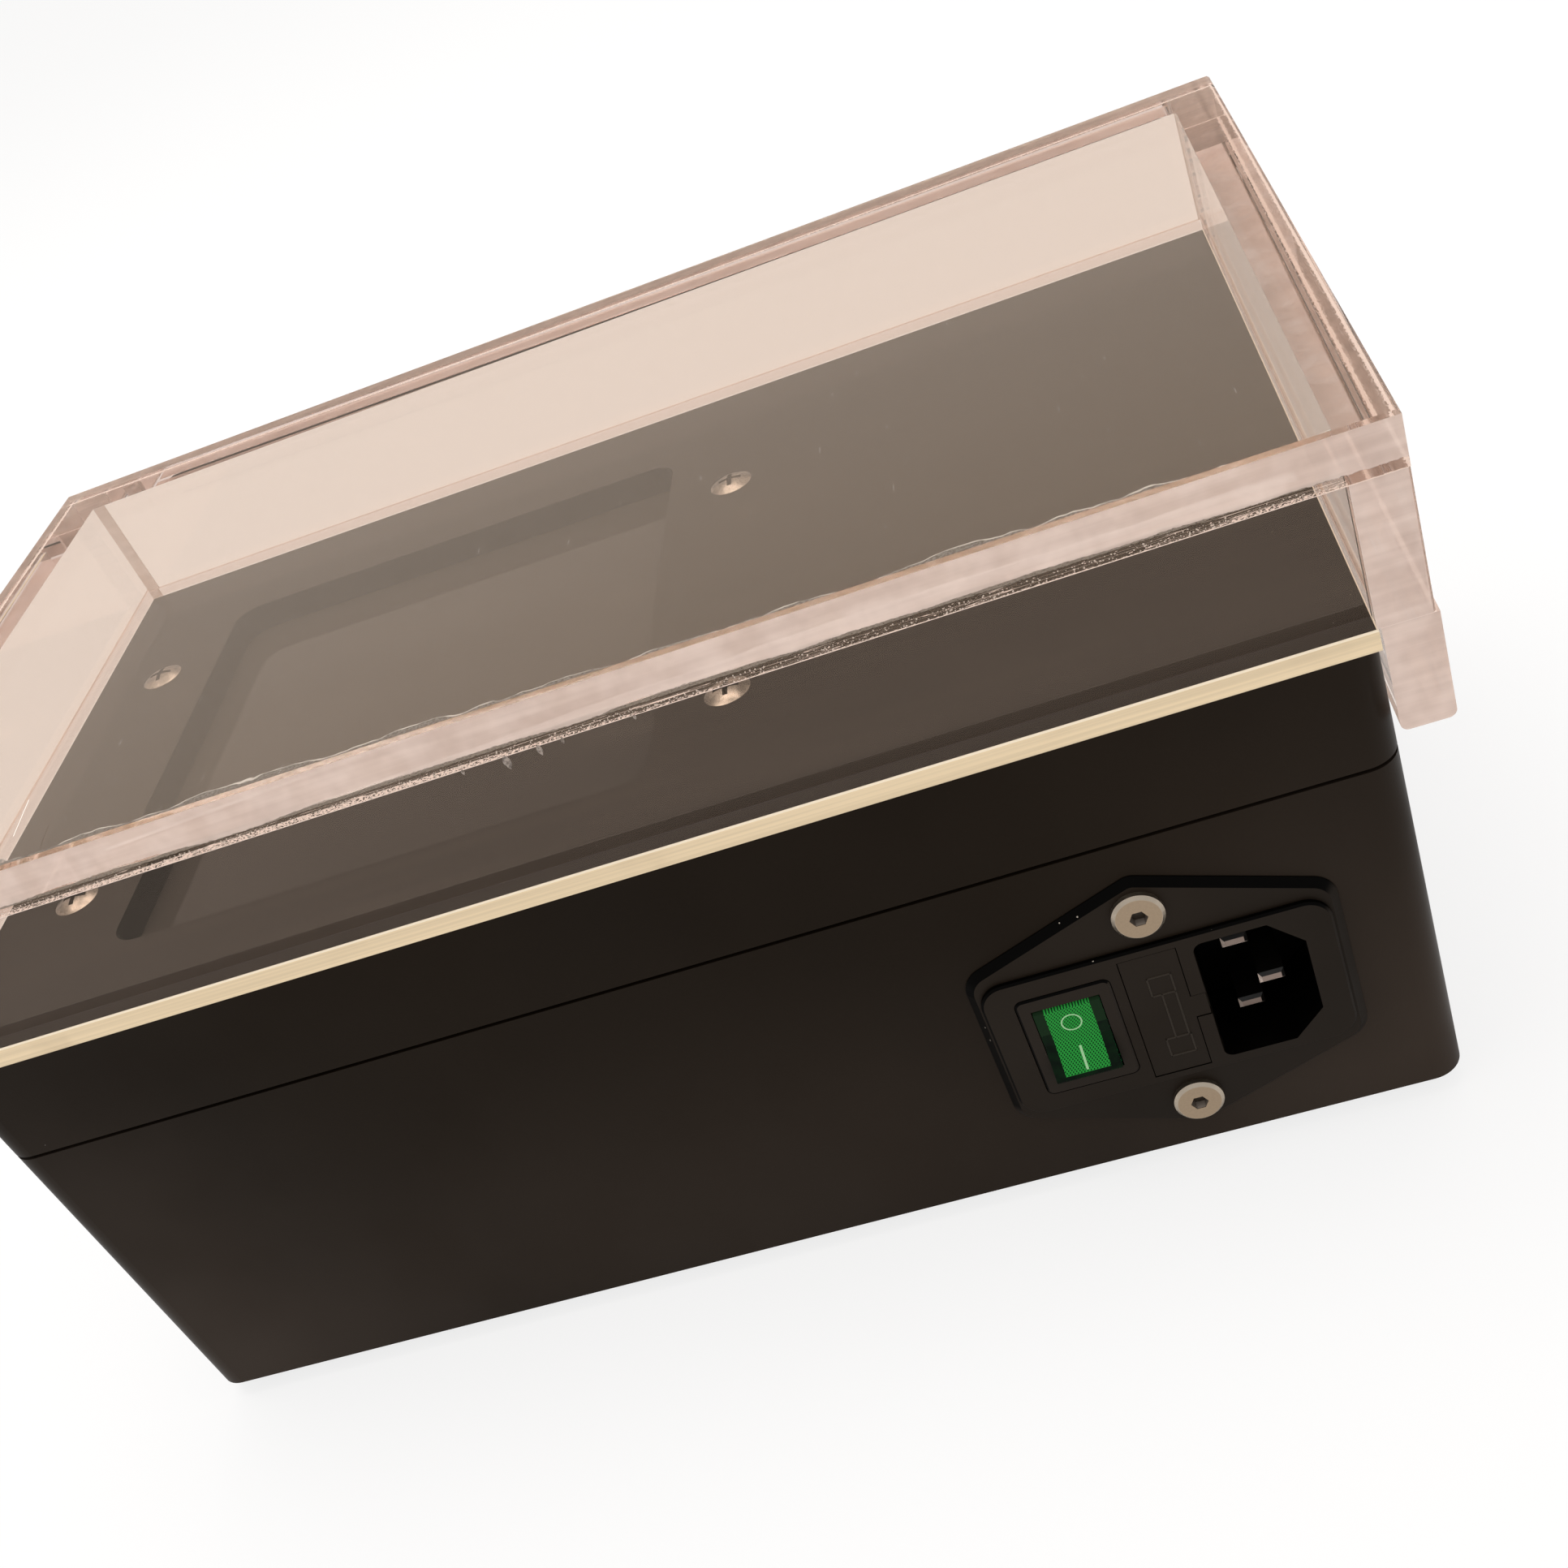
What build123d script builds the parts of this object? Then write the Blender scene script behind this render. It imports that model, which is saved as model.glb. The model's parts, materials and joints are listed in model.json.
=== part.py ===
"""Bench ultraviolet transilluminator with a lift-off clear cover, in millimetres.

Frame: +Z up, the feet stand on z = 0, the front is at -Y and the mains inlet is on the rear face at +Y.
The origin is the bottom centre of the whole object's box.
"""

from build123d import *

import os
from math import cos, radians, sin

# Driving dimensions: housing
WIDTH = 230.0
DEPTH = 143.0
FOOT_HEIGHT = 3.0
BASE_HEIGHT = 64.0
LID_HEIGHT = 18.7
PLATE_THICKNESS = 3.3
CORNER_RADIUS = 5.0
WALL = 3.0
FLOOR = 3.0
PANEL = 2.5
SEAM_GAP = 0.6
TONGUE_HEIGHT = 3.0
BOTTOM_EDGE = 0.8

# Driving dimensions: filter window and the screws round it
WINDOW_X = 40.0
WINDOW_WIDTH = 95.0
WINDOW_DEPTH = 98.0
WINDOW_RADIUS = 5.0
SCREW_SPACING_X = 120.0
SCREW_SPACING_Y = 62.0
GASKET_THICKNESS = 1.7
GLASS_MARGIN = 5.0
GLASS_THICKNESS = 5.0
FRAME_RAIL = 14.0
FRAME_LEDGE = 2.5

# Driving dimensions: clear cover
COVER_CLEARANCE = 21.7
SHEET_THICKNESS = 7.8
REAR_WALL_THICKNESS = 6.0
SIDE_THICKNESS = 7.8
SIDE_REST = 0.2
LIP_GAP = 0.3
LIP_DROP = 17.0
SEAT_GAP = 0.1
COVER_EDGE = 0.5
LIP_EDGE = 1.2

# Driving dimensions: mains inlet module, seen from behind (u to the right, w up, n outwards)
INLET_X = -73.15
INLET_ABOVE_BASE = 31.7
FLANGE_HALF_WIDTH = 28.8
FLANGE_HALF_HEIGHT = 26.4
FLANGE_SHOULDER = 15.6
FLANGE_THICKNESS = 1.4
FLANGE_BEVEL = 1.2
SHOULDER_RADIUS = 4.5
APEX_RADIUS = 3.0
RAISED_WIDTH = 54.4
RAISED_HEIGHT = 28.0
RAISED_RADIUS = 4.0
RAISE = 1.0
MODULE_WIDTH = 49.6
MODULE_HEIGHT = 27.0
MODULE_DEPTH = 27.0
INLET_SCREW_SPACING = 40.0
SOCKET_U = 14.3
SOCKET_WIDTH = 16.4
SOCKET_HEIGHT = 24.0
SOCKET_CHAMFER = 5.0
SOCKET_FLOOR = -13.5
SWITCH_U = -14.75
BEZEL_WIDTH = 15.0
BEZEL_HEIGHT = 20.4
BEZEL_PROUD = 0.3
BEZEL_THICKNESS = 1.2
SWITCH_WIDTH = 12.8
SWITCH_HEIGHT = 18.8
SWITCH_DEPTH = 13.1
SWITCH_FLOOR = 1.2
ROCKER_HOLE_WIDTH = 10.9
ROCKER_HOLE_HEIGHT = 15.6
ROCKER_TILT = 7.5
ROCKER_HALF_LENGTH = 7.2
ROCKER_WIDTH = 10.6
PIVOT_DEPTH = 2.2
PIVOT_RADIUS = 1.2
PIVOT_CLEARANCE = 0.05
PRESSED_PROUD = 0.1
DRAWER_U = -0.8
DRAWER_WIDTH = 8.9
DRAWER_HEIGHT = 24.7
DRAWER_GAP = 0.15
DRAWER_DEPTH = 20.0
DRAWER_FACE = 1.5
TAB_HALF_HEIGHT = 2.15
TAB_END = 6.0
FUSE_DIAMETER = 5.2
FUSE_LENGTH = 20.0
FUSE_CAP = 5.5
SPARE_FUSE_DEPTH = 7.0
FUSE_DEPTH = 15.6
BLADE_WIDTH = 4.0
BLADE_THICKNESS = 2.0
BLADE_SPREAD = 7.0
EARTH_OFFSET = 4.0
LIVE_TIP = -1.8
NEUTRAL_TIP = -3.0
EARTH_TIP = 0.4
TERMINAL_WIDTH = 4.8
TERMINAL_THICKNESS = 0.8
TERMINAL_LENGTH = 8.0

# Driving dimensions: lamps and electronics
LAMP_X = 34.0
LAMP_Z = 62.0
LAMP_LENGTH = 136.0
LAMP_DIAMETER = 15.5
CAP_LENGTH = 6.0
CAP_DIAMETER = 16.0
PIN_DIAMETER = 2.3
PIN_LENGTH = 5.0
PIN_SPACING = 4.8
PIN_CLEAR = 1.6
SLOT_WIDTH = 8.0
LAMP_PITCH = 21.5
LAMP_COUNT = 4
TRAY_Z = 38.0
TRAY_SHEET = 1.2
HOLDER_THICKNESS = 8.0
HOLDER_WIDTH = 17.0
BALLAST_X = -80.0
BALLAST_SIZE = (50.0, 84.0, 27.0)
BALLAST_SHIFT = 22.0
EAR_INSET = 4.0
EAR_SHEET = 2.0
BLOCK_HEIGHT = 12.0
TERMINAL_PITCH = 8.4

# Levels and places worked out from the dimensions above
Z_BASE = FOOT_HEIGHT
Z_SEAM = Z_BASE + BASE_HEIGHT
Z_LID = Z_SEAM + LID_HEIGHT
Z_PLATE = Z_LID + PLATE_THICKNESS
Z_GLASS = Z_LID - GASKET_THICKNESS
Z_WALL_FOOT = Z_PLATE + SEAT_GAP
Z_CEILING = Z_PLATE + COVER_CLEARANCE
Z_TOP = Z_CEILING + SHEET_THICKNESS
Z_BOSS = Z_SEAM - SEAM_GAP / 2
FACE_N = FLANGE_THICKNESS + RAISE
BEZEL_N = FACE_N + BEZEL_PROUD
BEZEL_SEAT_N = BEZEL_N - BEZEL_THICKNESS
SWITCH_BACK_N = BEZEL_N - SWITCH_DEPTH
PIVOT_N = BEZEL_N - PIVOT_DEPTH
TILT = radians(ROCKER_TILT)
FACE_ARM = PIVOT_DEPTH + PRESSED_PROUD
ROCKER_END_HEIGHT = (FACE_ARM + ROCKER_HALF_LENGTH * sin(TILT)) / cos(TILT)
REAR_REACH = PIVOT_N + ROCKER_HALF_LENGTH * sin(TILT) + ROCKER_END_HEIGHT * cos(TILT)
FRONT_REACH = LIP_GAP + SIDE_THICKNESS
BODY_Y = (FRONT_REACH - REAR_REACH) / 2
REAR_Y = BODY_Y + DEPTH / 2
FRONT_Y = BODY_Y - DEPTH / 2
INLET_Z = Z_BASE + INLET_ABOVE_BASE
WALL_IN = WIDTH / 2 - SIDE_REST
WALL_OUT = WALL_IN + SIDE_THICKNESS
LIP_IN = WIDTH / 2 + LIP_GAP
LIP_OUT = LIP_IN + SIDE_THICKNESS
COVER_FRONT = FRONT_Y + SIDE_REST - SIDE_THICKNESS
LIP_FRONT = FRONT_Y - LIP_GAP - SIDE_THICKNESS
Z_LIP = Z_PLATE - LIP_DROP
GLASS_WIDTH = WINDOW_WIDTH + 2 * GLASS_MARGIN
GLASS_DEPTH = WINDOW_DEPTH + 2 * GLASS_MARGIN
REAR = Plane(origin=(INLET_X, REAR_Y, INLET_Z), x_dir=(-1, 0, 0), z_dir=(0, 1, 0))

# Fasteners
M4 = 4.0
M4_CLEAR = 4.4
M4_SINK = 8.0
M4_CAP_HEAD = 7.0
M3 = 3.0
M3_CLEAR = 3.4
M3_HEX = 5.5
M3_HEAD = 2.0
HEX_KEY = 2.5
HEX_DEPTH = 1.6
BUTTON_DIAMETER = 8.1
BUTTON_HEIGHT = 1.4
BUTTON_RIM = 0.5
INLET_SCREW_LENGTH = 12.0
TRAY_SCREW_LENGTH = 8.0
BALLAST_SCREW_LENGTH = 6.0
CASE_SCREW_LENGTH = 30.0
NUT_WIDTH = 7.0
NUT_HEIGHT = 3.2
BOSS_INSET = 4.0
BOSS_X = WIDTH / 2 - WALL - BOSS_INSET
BOSS_Y = DEPTH / 2 - WALL - BOSS_INSET
BOSS_DIAMETER = 10.0
SPIGOT_DIAMETER = 7.4
BORE_DIAMETER = 7.8
WEB_Z = 48.0
FOOT_X = 92.0
FOOT_Y = 50.0
FOOT_DIAMETER = 18.0
FOOT_STEM = 5.0
FOOT_BEAD = 6.6
BEAD_HEIGHT = 2.2
POST_SIDE = 7.0
SCREW_BITE = 10.0
POST_X = (LAMP_X - 45.0, LAMP_X + 45.0)
POST_Y = 50.0


def prism(width, depth, radius, z0, z1, x=0.0, y=BODY_Y):
    """A block with rounded vertical corners between two heights."""
    shape = RectangleRounded(width, depth, radius) if radius else Rectangle(width, depth)
    return Pos(x, y, z0) * extrude(shape, z1 - z0)


def post(x, y, diameter, z0, z1):
    """A vertical round bar or, when taken away, a vertical hole."""
    return Pos(x, y, z0) * extrude(Circle(diameter / 2), z1 - z0)


def stand(x, y, side, z0, z1):
    """A square moulded post."""
    return Pos(x, y, (z0 + z1) / 2) * Box(side, side, z1 - z0)


def on_rear(sketch, n0, n1):
    """A prism on the rear panel, from distance n0 to n1 outwards."""
    return extrude(REAR.offset(n0) * sketch, n1 - n0)


def group(solids):
    """Separate solids that share one node."""
    return Compound(children=list(solids))


def four(x, y):
    """The four corners of a rectangle centred on the housing."""
    return [(sx * x, BODY_Y + sy * y) for sx in (-1, 1) for sy in (-1, 1)]


def window_screws():
    """Places of the four screws round the window."""
    half_x, half_y = SCREW_SPACING_X / 2, SCREW_SPACING_Y / 2
    return [(WINDOW_X + sx * half_x, BODY_Y + sy * half_y) for sx in (-1, 1) for sy in (-1, 1)]


def base_tray():
    """Lower moulding: floor, walls, tongue, bosses, posts and the inlet cut-out."""
    rim = Z_SEAM - SEAM_GAP / 2
    outer = prism(WIDTH, DEPTH, CORNER_RADIUS, Z_BASE, rim)
    outer = chamfer(outer.faces().sort_by(Axis.Z)[0].edges(), BOTTOM_EDGE)
    inner_radius = CORNER_RADIUS - WALL
    tray = outer - prism(WIDTH - 2 * WALL, DEPTH - 2 * WALL, inner_radius, Z_BASE + FLOOR, rim)
    tongue_side = WALL / 2
    tongue = prism(
        WIDTH - 2 * tongue_side, DEPTH - 2 * tongue_side, CORNER_RADIUS - tongue_side, rim - 1, rim + TONGUE_HEIGHT
    )
    tongue -= prism(WIDTH - 2 * WALL, DEPTH - 2 * WALL, inner_radius, rim - 1, rim + TONGUE_HEIGHT)
    tray += tongue
    for x, y in four(BOSS_X, BOSS_Y):
        tray += post(x, y, BOSS_DIAMETER, Z_BASE + FLOOR / 2, Z_BOSS)
    for x, y in four(BOSS_X, BOSS_Y):
        tray -= post(x, y, BORE_DIAMETER, Z_BASE, WEB_Z)
        tray -= post(x, y, M4_CLEAR, WEB_Z, Z_BOSS)
    for x, y in tray_posts():
        tray += stand(x, y, POST_SIDE, Z_BASE + FLOOR / 2, TRAY_Z)
        tray -= post(x, y, M3, TRAY_Z - SCREW_BITE, TRAY_Z)
    for x, y in ballast_places():
        tray += stand(x, y, POST_SIDE, Z_BASE + FLOOR / 2, Z_BASE + 2 * FLOOR)
        tray -= post(x, y, M3, Z_BASE + 1.0, Z_BASE + 2 * FLOOR)
    for x, y in four(FOOT_X, FOOT_Y):
        tray -= post(x, y, FOOT_STEM, Z_BASE, Z_BASE + FLOOR)
    tray -= on_rear(Rectangle(MODULE_WIDTH + 0.4, MODULE_HEIGHT + 0.4), -WALL - 1, 1)
    for w in (-INLET_SCREW_SPACING / 2, INLET_SCREW_SPACING / 2):
        tray -= on_rear(Pos(0, w) * Circle(M4_CLEAR / 2), -WALL - 1, 1)
    return tray


def lid_frame():
    """Upper moulding: skirt with a rebate over the tongue, top panel, bosses and ribs."""
    skirt_foot = Z_SEAM + SEAM_GAP / 2
    ledge = Z_BOSS + TONGUE_HEIGHT
    inside = Z_LID - PANEL
    lid = prism(WIDTH, DEPTH, CORNER_RADIUS, skirt_foot, Z_LID)
    lid -= prism(WIDTH - 2 * WALL, DEPTH - 2 * WALL, CORNER_RADIUS - WALL, skirt_foot, inside)
    lid -= prism(WIDTH - WALL, DEPTH - WALL, CORNER_RADIUS - WALL / 2, skirt_foot, ledge)
    for x, y in four(BOSS_X, BOSS_Y):
        lid += post(x, y, BOSS_DIAMETER, ledge, inside) + post(x, y, SPIGOT_DIAMETER, Z_BOSS, ledge)
    for x in (-100.0, -70.0, -40.0):
        lid += Pos(x, BODY_Y, inside - 3.0) * Box(1.6, DEPTH - 2 * WALL, 6.0)
    for x, y in four(BOSS_X, BOSS_Y):
        lid -= post(x, y, M4, Z_BOSS, Z_BOSS + 13.0)
    lid -= prism(GLASS_WIDTH + 0.6, GLASS_DEPTH + 0.6, 0, inside - 1, Z_LID, x=WINDOW_X)
    for x, y in window_screws():
        lid -= post(x, y, M4_CLEAR, inside - 1, Z_LID)
    return lid


def top_plate():
    """Machined plate over the whole housing, with square corners, the window and four countersinks."""
    plate = prism(WIDTH, DEPTH, 0, Z_LID, Z_PLATE)
    plate = chamfer(plate.faces().sort_by(Axis.Z)[-1].edges(), 0.3)
    plate -= prism(WINDOW_WIDTH, WINDOW_DEPTH, WINDOW_RADIUS, Z_LID, Z_PLATE, x=WINDOW_X)
    for screw in plate_screw_solids(recess=False):
        plate -= screw
    for x, y in window_screws():
        plate -= post(x, y, M4_CLEAR, Z_LID, Z_PLATE - 1)
    return plate


def plate_screw_solids(recess=True):
    """Raised countersunk screws: a shallow dome over a 90 degree cone and a plain shank."""
    head = M4_SINK / 2
    sink = head - M4 / 2
    dome = 1.0
    length = 12.0
    dome_radius = (head**2 + dome**2) / (2 * dome)
    outline = Line((0, -length), (M4 / 2, -length)) + Line((M4 / 2, -length), (M4 / 2, -sink))
    outline += Line((M4 / 2, -sink), (head, 0)) + RadiusArc((head, 0), (0, dome), -dome_radius)
    outline += Line((0, dome), (0, -length))
    screw = revolve(Plane.XZ * make_face(outline), Axis.Z)
    if recess:
        wing = Pos(0, 0, dome - 0.75) * Box(4.4, 0.9, 1.5)
        screw -= wing + Rot(0, 0, 90) * wing
    return [Pos(x, y, Z_PLATE) * screw for x, y in window_screws()]


def filter_gasket():
    """Black rubber ring that spaces the glass from the underside of the plate."""
    ring = prism(GLASS_WIDTH, GLASS_DEPTH, 0, Z_GLASS, Z_LID, x=WINDOW_X)
    return ring - prism(WINDOW_WIDTH, WINDOW_DEPTH, WINDOW_RADIUS, Z_GLASS, Z_LID, x=WINDOW_X)


def filter_glass():
    """Ultraviolet pass filter, a flat block of dark glass."""
    return prism(GLASS_WIDTH, GLASS_DEPTH, 0, Z_GLASS - GLASS_THICKNESS, Z_GLASS, x=WINDOW_X)


def filter_frame():
    """Retaining frame under the lid panel, with a ledge that carries the glass."""
    top = Z_LID - PANEL
    foot = Z_GLASS - GLASS_THICKNESS - FRAME_LEDGE
    width = SCREW_SPACING_X + FRAME_RAIL
    depth = GLASS_DEPTH + 8.0
    frame = prism(width, depth, 0, foot, top, x=WINDOW_X)
    frame -= prism(GLASS_WIDTH + 0.4, GLASS_DEPTH + 0.4, 0, foot + FRAME_LEDGE, top, x=WINDOW_X)
    frame -= prism(WINDOW_WIDTH, WINDOW_DEPTH, 0, foot, top, x=WINDOW_X)
    for x, y in window_screws():
        frame -= post(x, y, M4, foot, top)
    return frame


def cover_edge_block(x0, x1, y0, y1, z0, z1):
    """A sheet of acrylic between two corners."""
    size = (x1 - x0, y1 - y0, z1 - z0)
    return Pos((x0 + x1) / 2, (y0 + y1) / 2, (z0 + z1) / 2) * Box(*size)


def cover_top():
    """Top sheet over all four walls."""
    sheet = cover_edge_block(-WALL_OUT, WALL_OUT, COVER_FRONT, REAR_Y, Z_CEILING, Z_TOP)
    return chamfer(sheet.faces().sort_by(Axis.Z)[-1].edges(), COVER_EDGE)


def cover_rear_wall():
    """Rear wall, which stands on the plate flush with its rear edge."""
    return cover_edge_block(-WALL_IN, WALL_IN, REAR_Y - REAR_WALL_THICKNESS, REAR_Y, Z_WALL_FOOT, Z_CEILING)


def cover_front_wall():
    """Front wall between the side walls, hung over the front edge of the plate."""
    return cover_edge_block(-WALL_IN, WALL_IN, COVER_FRONT, COVER_FRONT + SIDE_THICKNESS, Z_WALL_FOOT, Z_CEILING)


def cover_side_wall(side):
    """Side wall, full depth, on the left (-1) or the right (+1)."""
    wall = cover_edge_block(WALL_IN, WALL_OUT, COVER_FRONT, REAR_Y, Z_WALL_FOOT, Z_CEILING)
    corner = wall.edges().filter_by(Axis.Z).sort_by(lambda edge: edge.center().X + edge.center().Y)[-1]
    wall = fillet(corner, COVER_EDGE)
    return wall if side > 0 else mirror(wall, about=Plane.YZ)


def cover_side_lip(side):
    """Strip glued under a side wall, which locates the cover on the housing."""
    lip = cover_edge_block(LIP_IN, LIP_OUT, LIP_FRONT, REAR_Y, Z_LIP, Z_WALL_FOOT)
    foot = lip.faces().sort_by(Axis.Z)[0].edges().filter_by(Axis.Y)
    lip = fillet(foot, LIP_EDGE)
    return lip if side > 0 else mirror(lip, about=Plane.YZ)


def cover_front_lip():
    """Strip glued under the front wall, between the two side strips."""
    lip = cover_edge_block(-LIP_IN, LIP_IN, LIP_FRONT, LIP_FRONT + SIDE_THICKNESS, Z_LIP, Z_WALL_FOOT)
    foot = lip.faces().sort_by(Axis.Z)[0].edges().filter_by(Axis.X)
    return fillet(foot, LIP_EDGE)


def flange_outline():
    """Six-sided flange with an ear above and below, the ears tighter than the shoulders."""
    half_w, half_h = FLANGE_HALF_WIDTH, FLANGE_HALF_HEIGHT
    corners = [(0, half_h), (-half_w, FLANGE_SHOULDER), (-half_w, -FLANGE_SHOULDER)]
    corners += [(-x, -y) for x, y in corners]
    outline = fillet(Polygon(*corners, align=None).vertices().sort_by(Axis.Y)[0::5], APEX_RADIUS)
    shoulders = [vertex for vertex in outline.vertices() if abs(vertex.X) > half_w - 1]
    return fillet(shoulders, SHOULDER_RADIUS)


def socket_outline():
    """Opening of the appliance inlet: two round corners, two cut corners away from the switch."""
    half_w, half_h, cut = SOCKET_WIDTH / 2, SOCKET_HEIGHT / 2, SOCKET_CHAMFER
    corners = [(-half_w, half_h), (-half_w, -half_h), (half_w - cut, -half_h)]
    corners += [(half_w, -half_h + cut), (half_w, half_h - cut), (half_w - cut, half_h)]
    outline = Polygon(*corners, align=None)
    left = outline.vertices().sort_by(Axis.X)[:2]
    return Pos(SOCKET_U, 0) * fillet(left, 1.6)


def drawer_front_outline(gap=0.0):
    """Face of the fuse drawer with the pry tab that reaches the socket."""
    face = Pos(DRAWER_U, 0) * Rectangle(DRAWER_WIDTH + 2 * gap, DRAWER_HEIGHT + 2 * gap)
    tab_start = DRAWER_U + DRAWER_WIDTH / 2 - 1
    tab_end = TAB_END + gap
    tab = Rectangle(tab_end - tab_start, 2 * (TAB_HALF_HEIGHT + gap))
    return face + Pos((tab_start + tab_end) / 2, 0) * tab


def inlet_blade(u, w, tip):
    """One contact: a flat blade with a tapered tip and a thin tab behind."""
    centre = Pos(u, w)
    blade = on_rear(centre * Rectangle(BLADE_WIDTH, BLADE_THICKNESS), -MODULE_DEPTH, tip)
    blade = chamfer(blade.faces().sort_by(Axis.Y)[-1].edges(), 0.5)
    tab = Rectangle(TERMINAL_WIDTH, TERMINAL_THICKNESS)
    return blade + on_rear(centre * tab, -MODULE_DEPTH - TERMINAL_LENGTH, -MODULE_DEPTH)


def inlet_blades():
    """Line and neutral on one row, the longer earth contact on the other."""
    row = SOCKET_U - EARTH_OFFSET / 2
    live = inlet_blade(row, BLADE_SPREAD, LIVE_TIP)
    neutral = inlet_blade(row, -BLADE_SPREAD, NEUTRAL_TIP)
    return [live, neutral, inlet_blade(row + EARTH_OFFSET, 0, EARTH_TIP)]


def inlet_screw():
    """Low button-head screw with a hexagon socket, standing with the head's underside at z = 0."""
    head = Cylinder(BUTTON_DIAMETER / 2, BUTTON_HEIGHT)
    head = Pos(0, 0, BUTTON_HEIGHT / 2) * chamfer(head.edges().sort_by(Axis.Z)[-1], BUTTON_RIM)
    shank = Pos(0, 0, -INLET_SCREW_LENGTH / 2) * Cylinder(M4 / 2, INLET_SCREW_LENGTH)
    socket = extrude(RegularPolygon(HEX_KEY / 2, 6, major_radius=False), HEX_DEPTH)
    return head + shank - Pos(0, 0, BUTTON_HEIGHT - HEX_DEPTH) * socket


def inlet_screws():
    """The two screws of the inlet, one in each ear."""
    screw = inlet_screw()
    half = INLET_SCREW_SPACING / 2
    places = [REAR.offset(FLANGE_THICKNESS).location * Pos(0, w, 0) for w in (-half, half)]
    return [place * screw for place in places]


def inlet_body():
    """Moulded inlet module: bevelled flange, raised face, socket, drawer bay and switch bay."""
    flange = on_rear(flange_outline(), 0, FLANGE_THICKNESS)
    flange = chamfer(flange.faces().sort_by(Axis.Y)[-1].edges(), FLANGE_BEVEL)
    raised = on_rear(RectangleRounded(RAISED_WIDTH, RAISED_HEIGHT, RAISED_RADIUS), 0, FACE_N)
    raised = chamfer(raised.faces().sort_by(Axis.Y)[-1].edges(), 0.35)
    module = on_rear(RectangleRounded(MODULE_WIDTH, MODULE_HEIGHT, 1.5), -MODULE_DEPTH, FLANGE_THICKNESS / 2)
    body = flange + raised + module
    body -= on_rear(socket_outline(), SOCKET_FLOOR, FACE_N)
    drawer = Pos(DRAWER_U, 0)
    switch = Pos(SWITCH_U, 0)
    bay = drawer * Rectangle(DRAWER_WIDTH + 2 * DRAWER_GAP, DRAWER_HEIGHT + 2 * DRAWER_GAP)
    body -= on_rear(bay, FACE_N - DRAWER_DEPTH - 2.0, FACE_N)
    body -= on_rear(drawer_front_outline(DRAWER_GAP), FACE_N - DRAWER_FACE - 0.2, FACE_N)
    pocket = switch * RectangleRounded(BEZEL_WIDTH + 0.3, BEZEL_HEIGHT + 0.3, 1.4)
    body -= on_rear(pocket, BEZEL_SEAT_N, FACE_N)
    body -= on_rear(switch * Rectangle(SWITCH_WIDTH + 0.2, SWITCH_HEIGHT + 0.2), -MODULE_DEPTH, FACE_N)
    for blade in inlet_blades():
        body -= blade
    for w in (-INLET_SCREW_SPACING / 2, INLET_SCREW_SPACING / 2):
        body -= on_rear(Pos(0, w) * Circle(M4_CLEAR / 2), 0, FLANGE_THICKNESS)
    return body


def inlet_nuts():
    """Hexagon nuts behind the rear wall."""
    nut = RegularPolygon(NUT_WIDTH / 2, 6, major_radius=False) - Circle(M4 / 2)
    nut = on_rear(nut, -WALL - NUT_HEIGHT, -WALL)
    offset = Vector(0, 0, INLET_SCREW_SPACING / 2)
    return [nut.translate(offset), nut.translate(-offset)]


def switch_housing():
    """Snap-in rocker switch body: bezel, tube, floor and the two pivot sockets."""
    centre = Pos(SWITCH_U, 0)
    bezel = on_rear(centre * RectangleRounded(BEZEL_WIDTH, BEZEL_HEIGHT, 1.2), BEZEL_SEAT_N, BEZEL_N)
    bezel = chamfer(bezel.faces().sort_by(Axis.Y)[-1].edges(), 0.3)
    body = bezel + on_rear(centre * Rectangle(SWITCH_WIDTH, SWITCH_HEIGHT), SWITCH_BACK_N, BEZEL_SEAT_N)
    hole = centre * Rectangle(ROCKER_HOLE_WIDTH, ROCKER_HOLE_HEIGHT)
    body -= on_rear(hole, SWITCH_BACK_N + SWITCH_FLOOR, BEZEL_N)
    pivot = Cylinder(PIVOT_RADIUS + PIVOT_CLEARANCE, SWITCH_WIDTH - 0.4, rotation=(0, 90, 0))
    return body - REAR.location * Pos(SWITCH_U, 0, PIVOT_N) * pivot


def switch_tabs():
    """Flat terminals behind the switch."""
    tab = Rectangle(TERMINAL_WIDTH, TERMINAL_THICKNESS)
    back = SWITCH_BACK_N - TERMINAL_LENGTH
    return [on_rear(Pos(SWITCH_U, w) * tab, back, SWITCH_BACK_N) for w in (-6.5, 0, 6.5)]


def rocker():
    """Rocker cap with two faces in a shallow vee, pressed at its upper end."""
    end, foot = ROCKER_HALF_LENGTH, -1.5
    middle = FACE_ARM / cos(TILT)
    vee = [(-end, foot), (-end, ROCKER_END_HEIGHT), (0, middle), (end, ROCKER_END_HEIGHT), (end, foot)]
    profile = make_face(Polyline(*vee, close=True))
    across = Plane(origin=(-ROCKER_WIDTH / 2, 0, 0), x_dir=(0, 1, 0), z_dir=(1, 0, 0))
    cap = extrude(across * profile, ROCKER_WIDTH)
    cap = chamfer(cap.edges().filter_by(Axis.X).group_by(Axis.Z)[-1], 0.5)
    cap += Pos(0, 0, -3.2) * Box(6.0, 2.4, 4.0)
    cap += Cylinder(PIVOT_RADIUS, 12.2, rotation=(0, 90, 0))
    return REAR.location * Pos(SWITCH_U, 0, PIVOT_N) * Rot(-ROCKER_TILT, 0, 0) * cap


def fuse_places():
    """Distances n of the spare and the working fuse."""
    return (FACE_N - SPARE_FUSE_DEPTH, FACE_N - FUSE_DEPTH)


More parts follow.
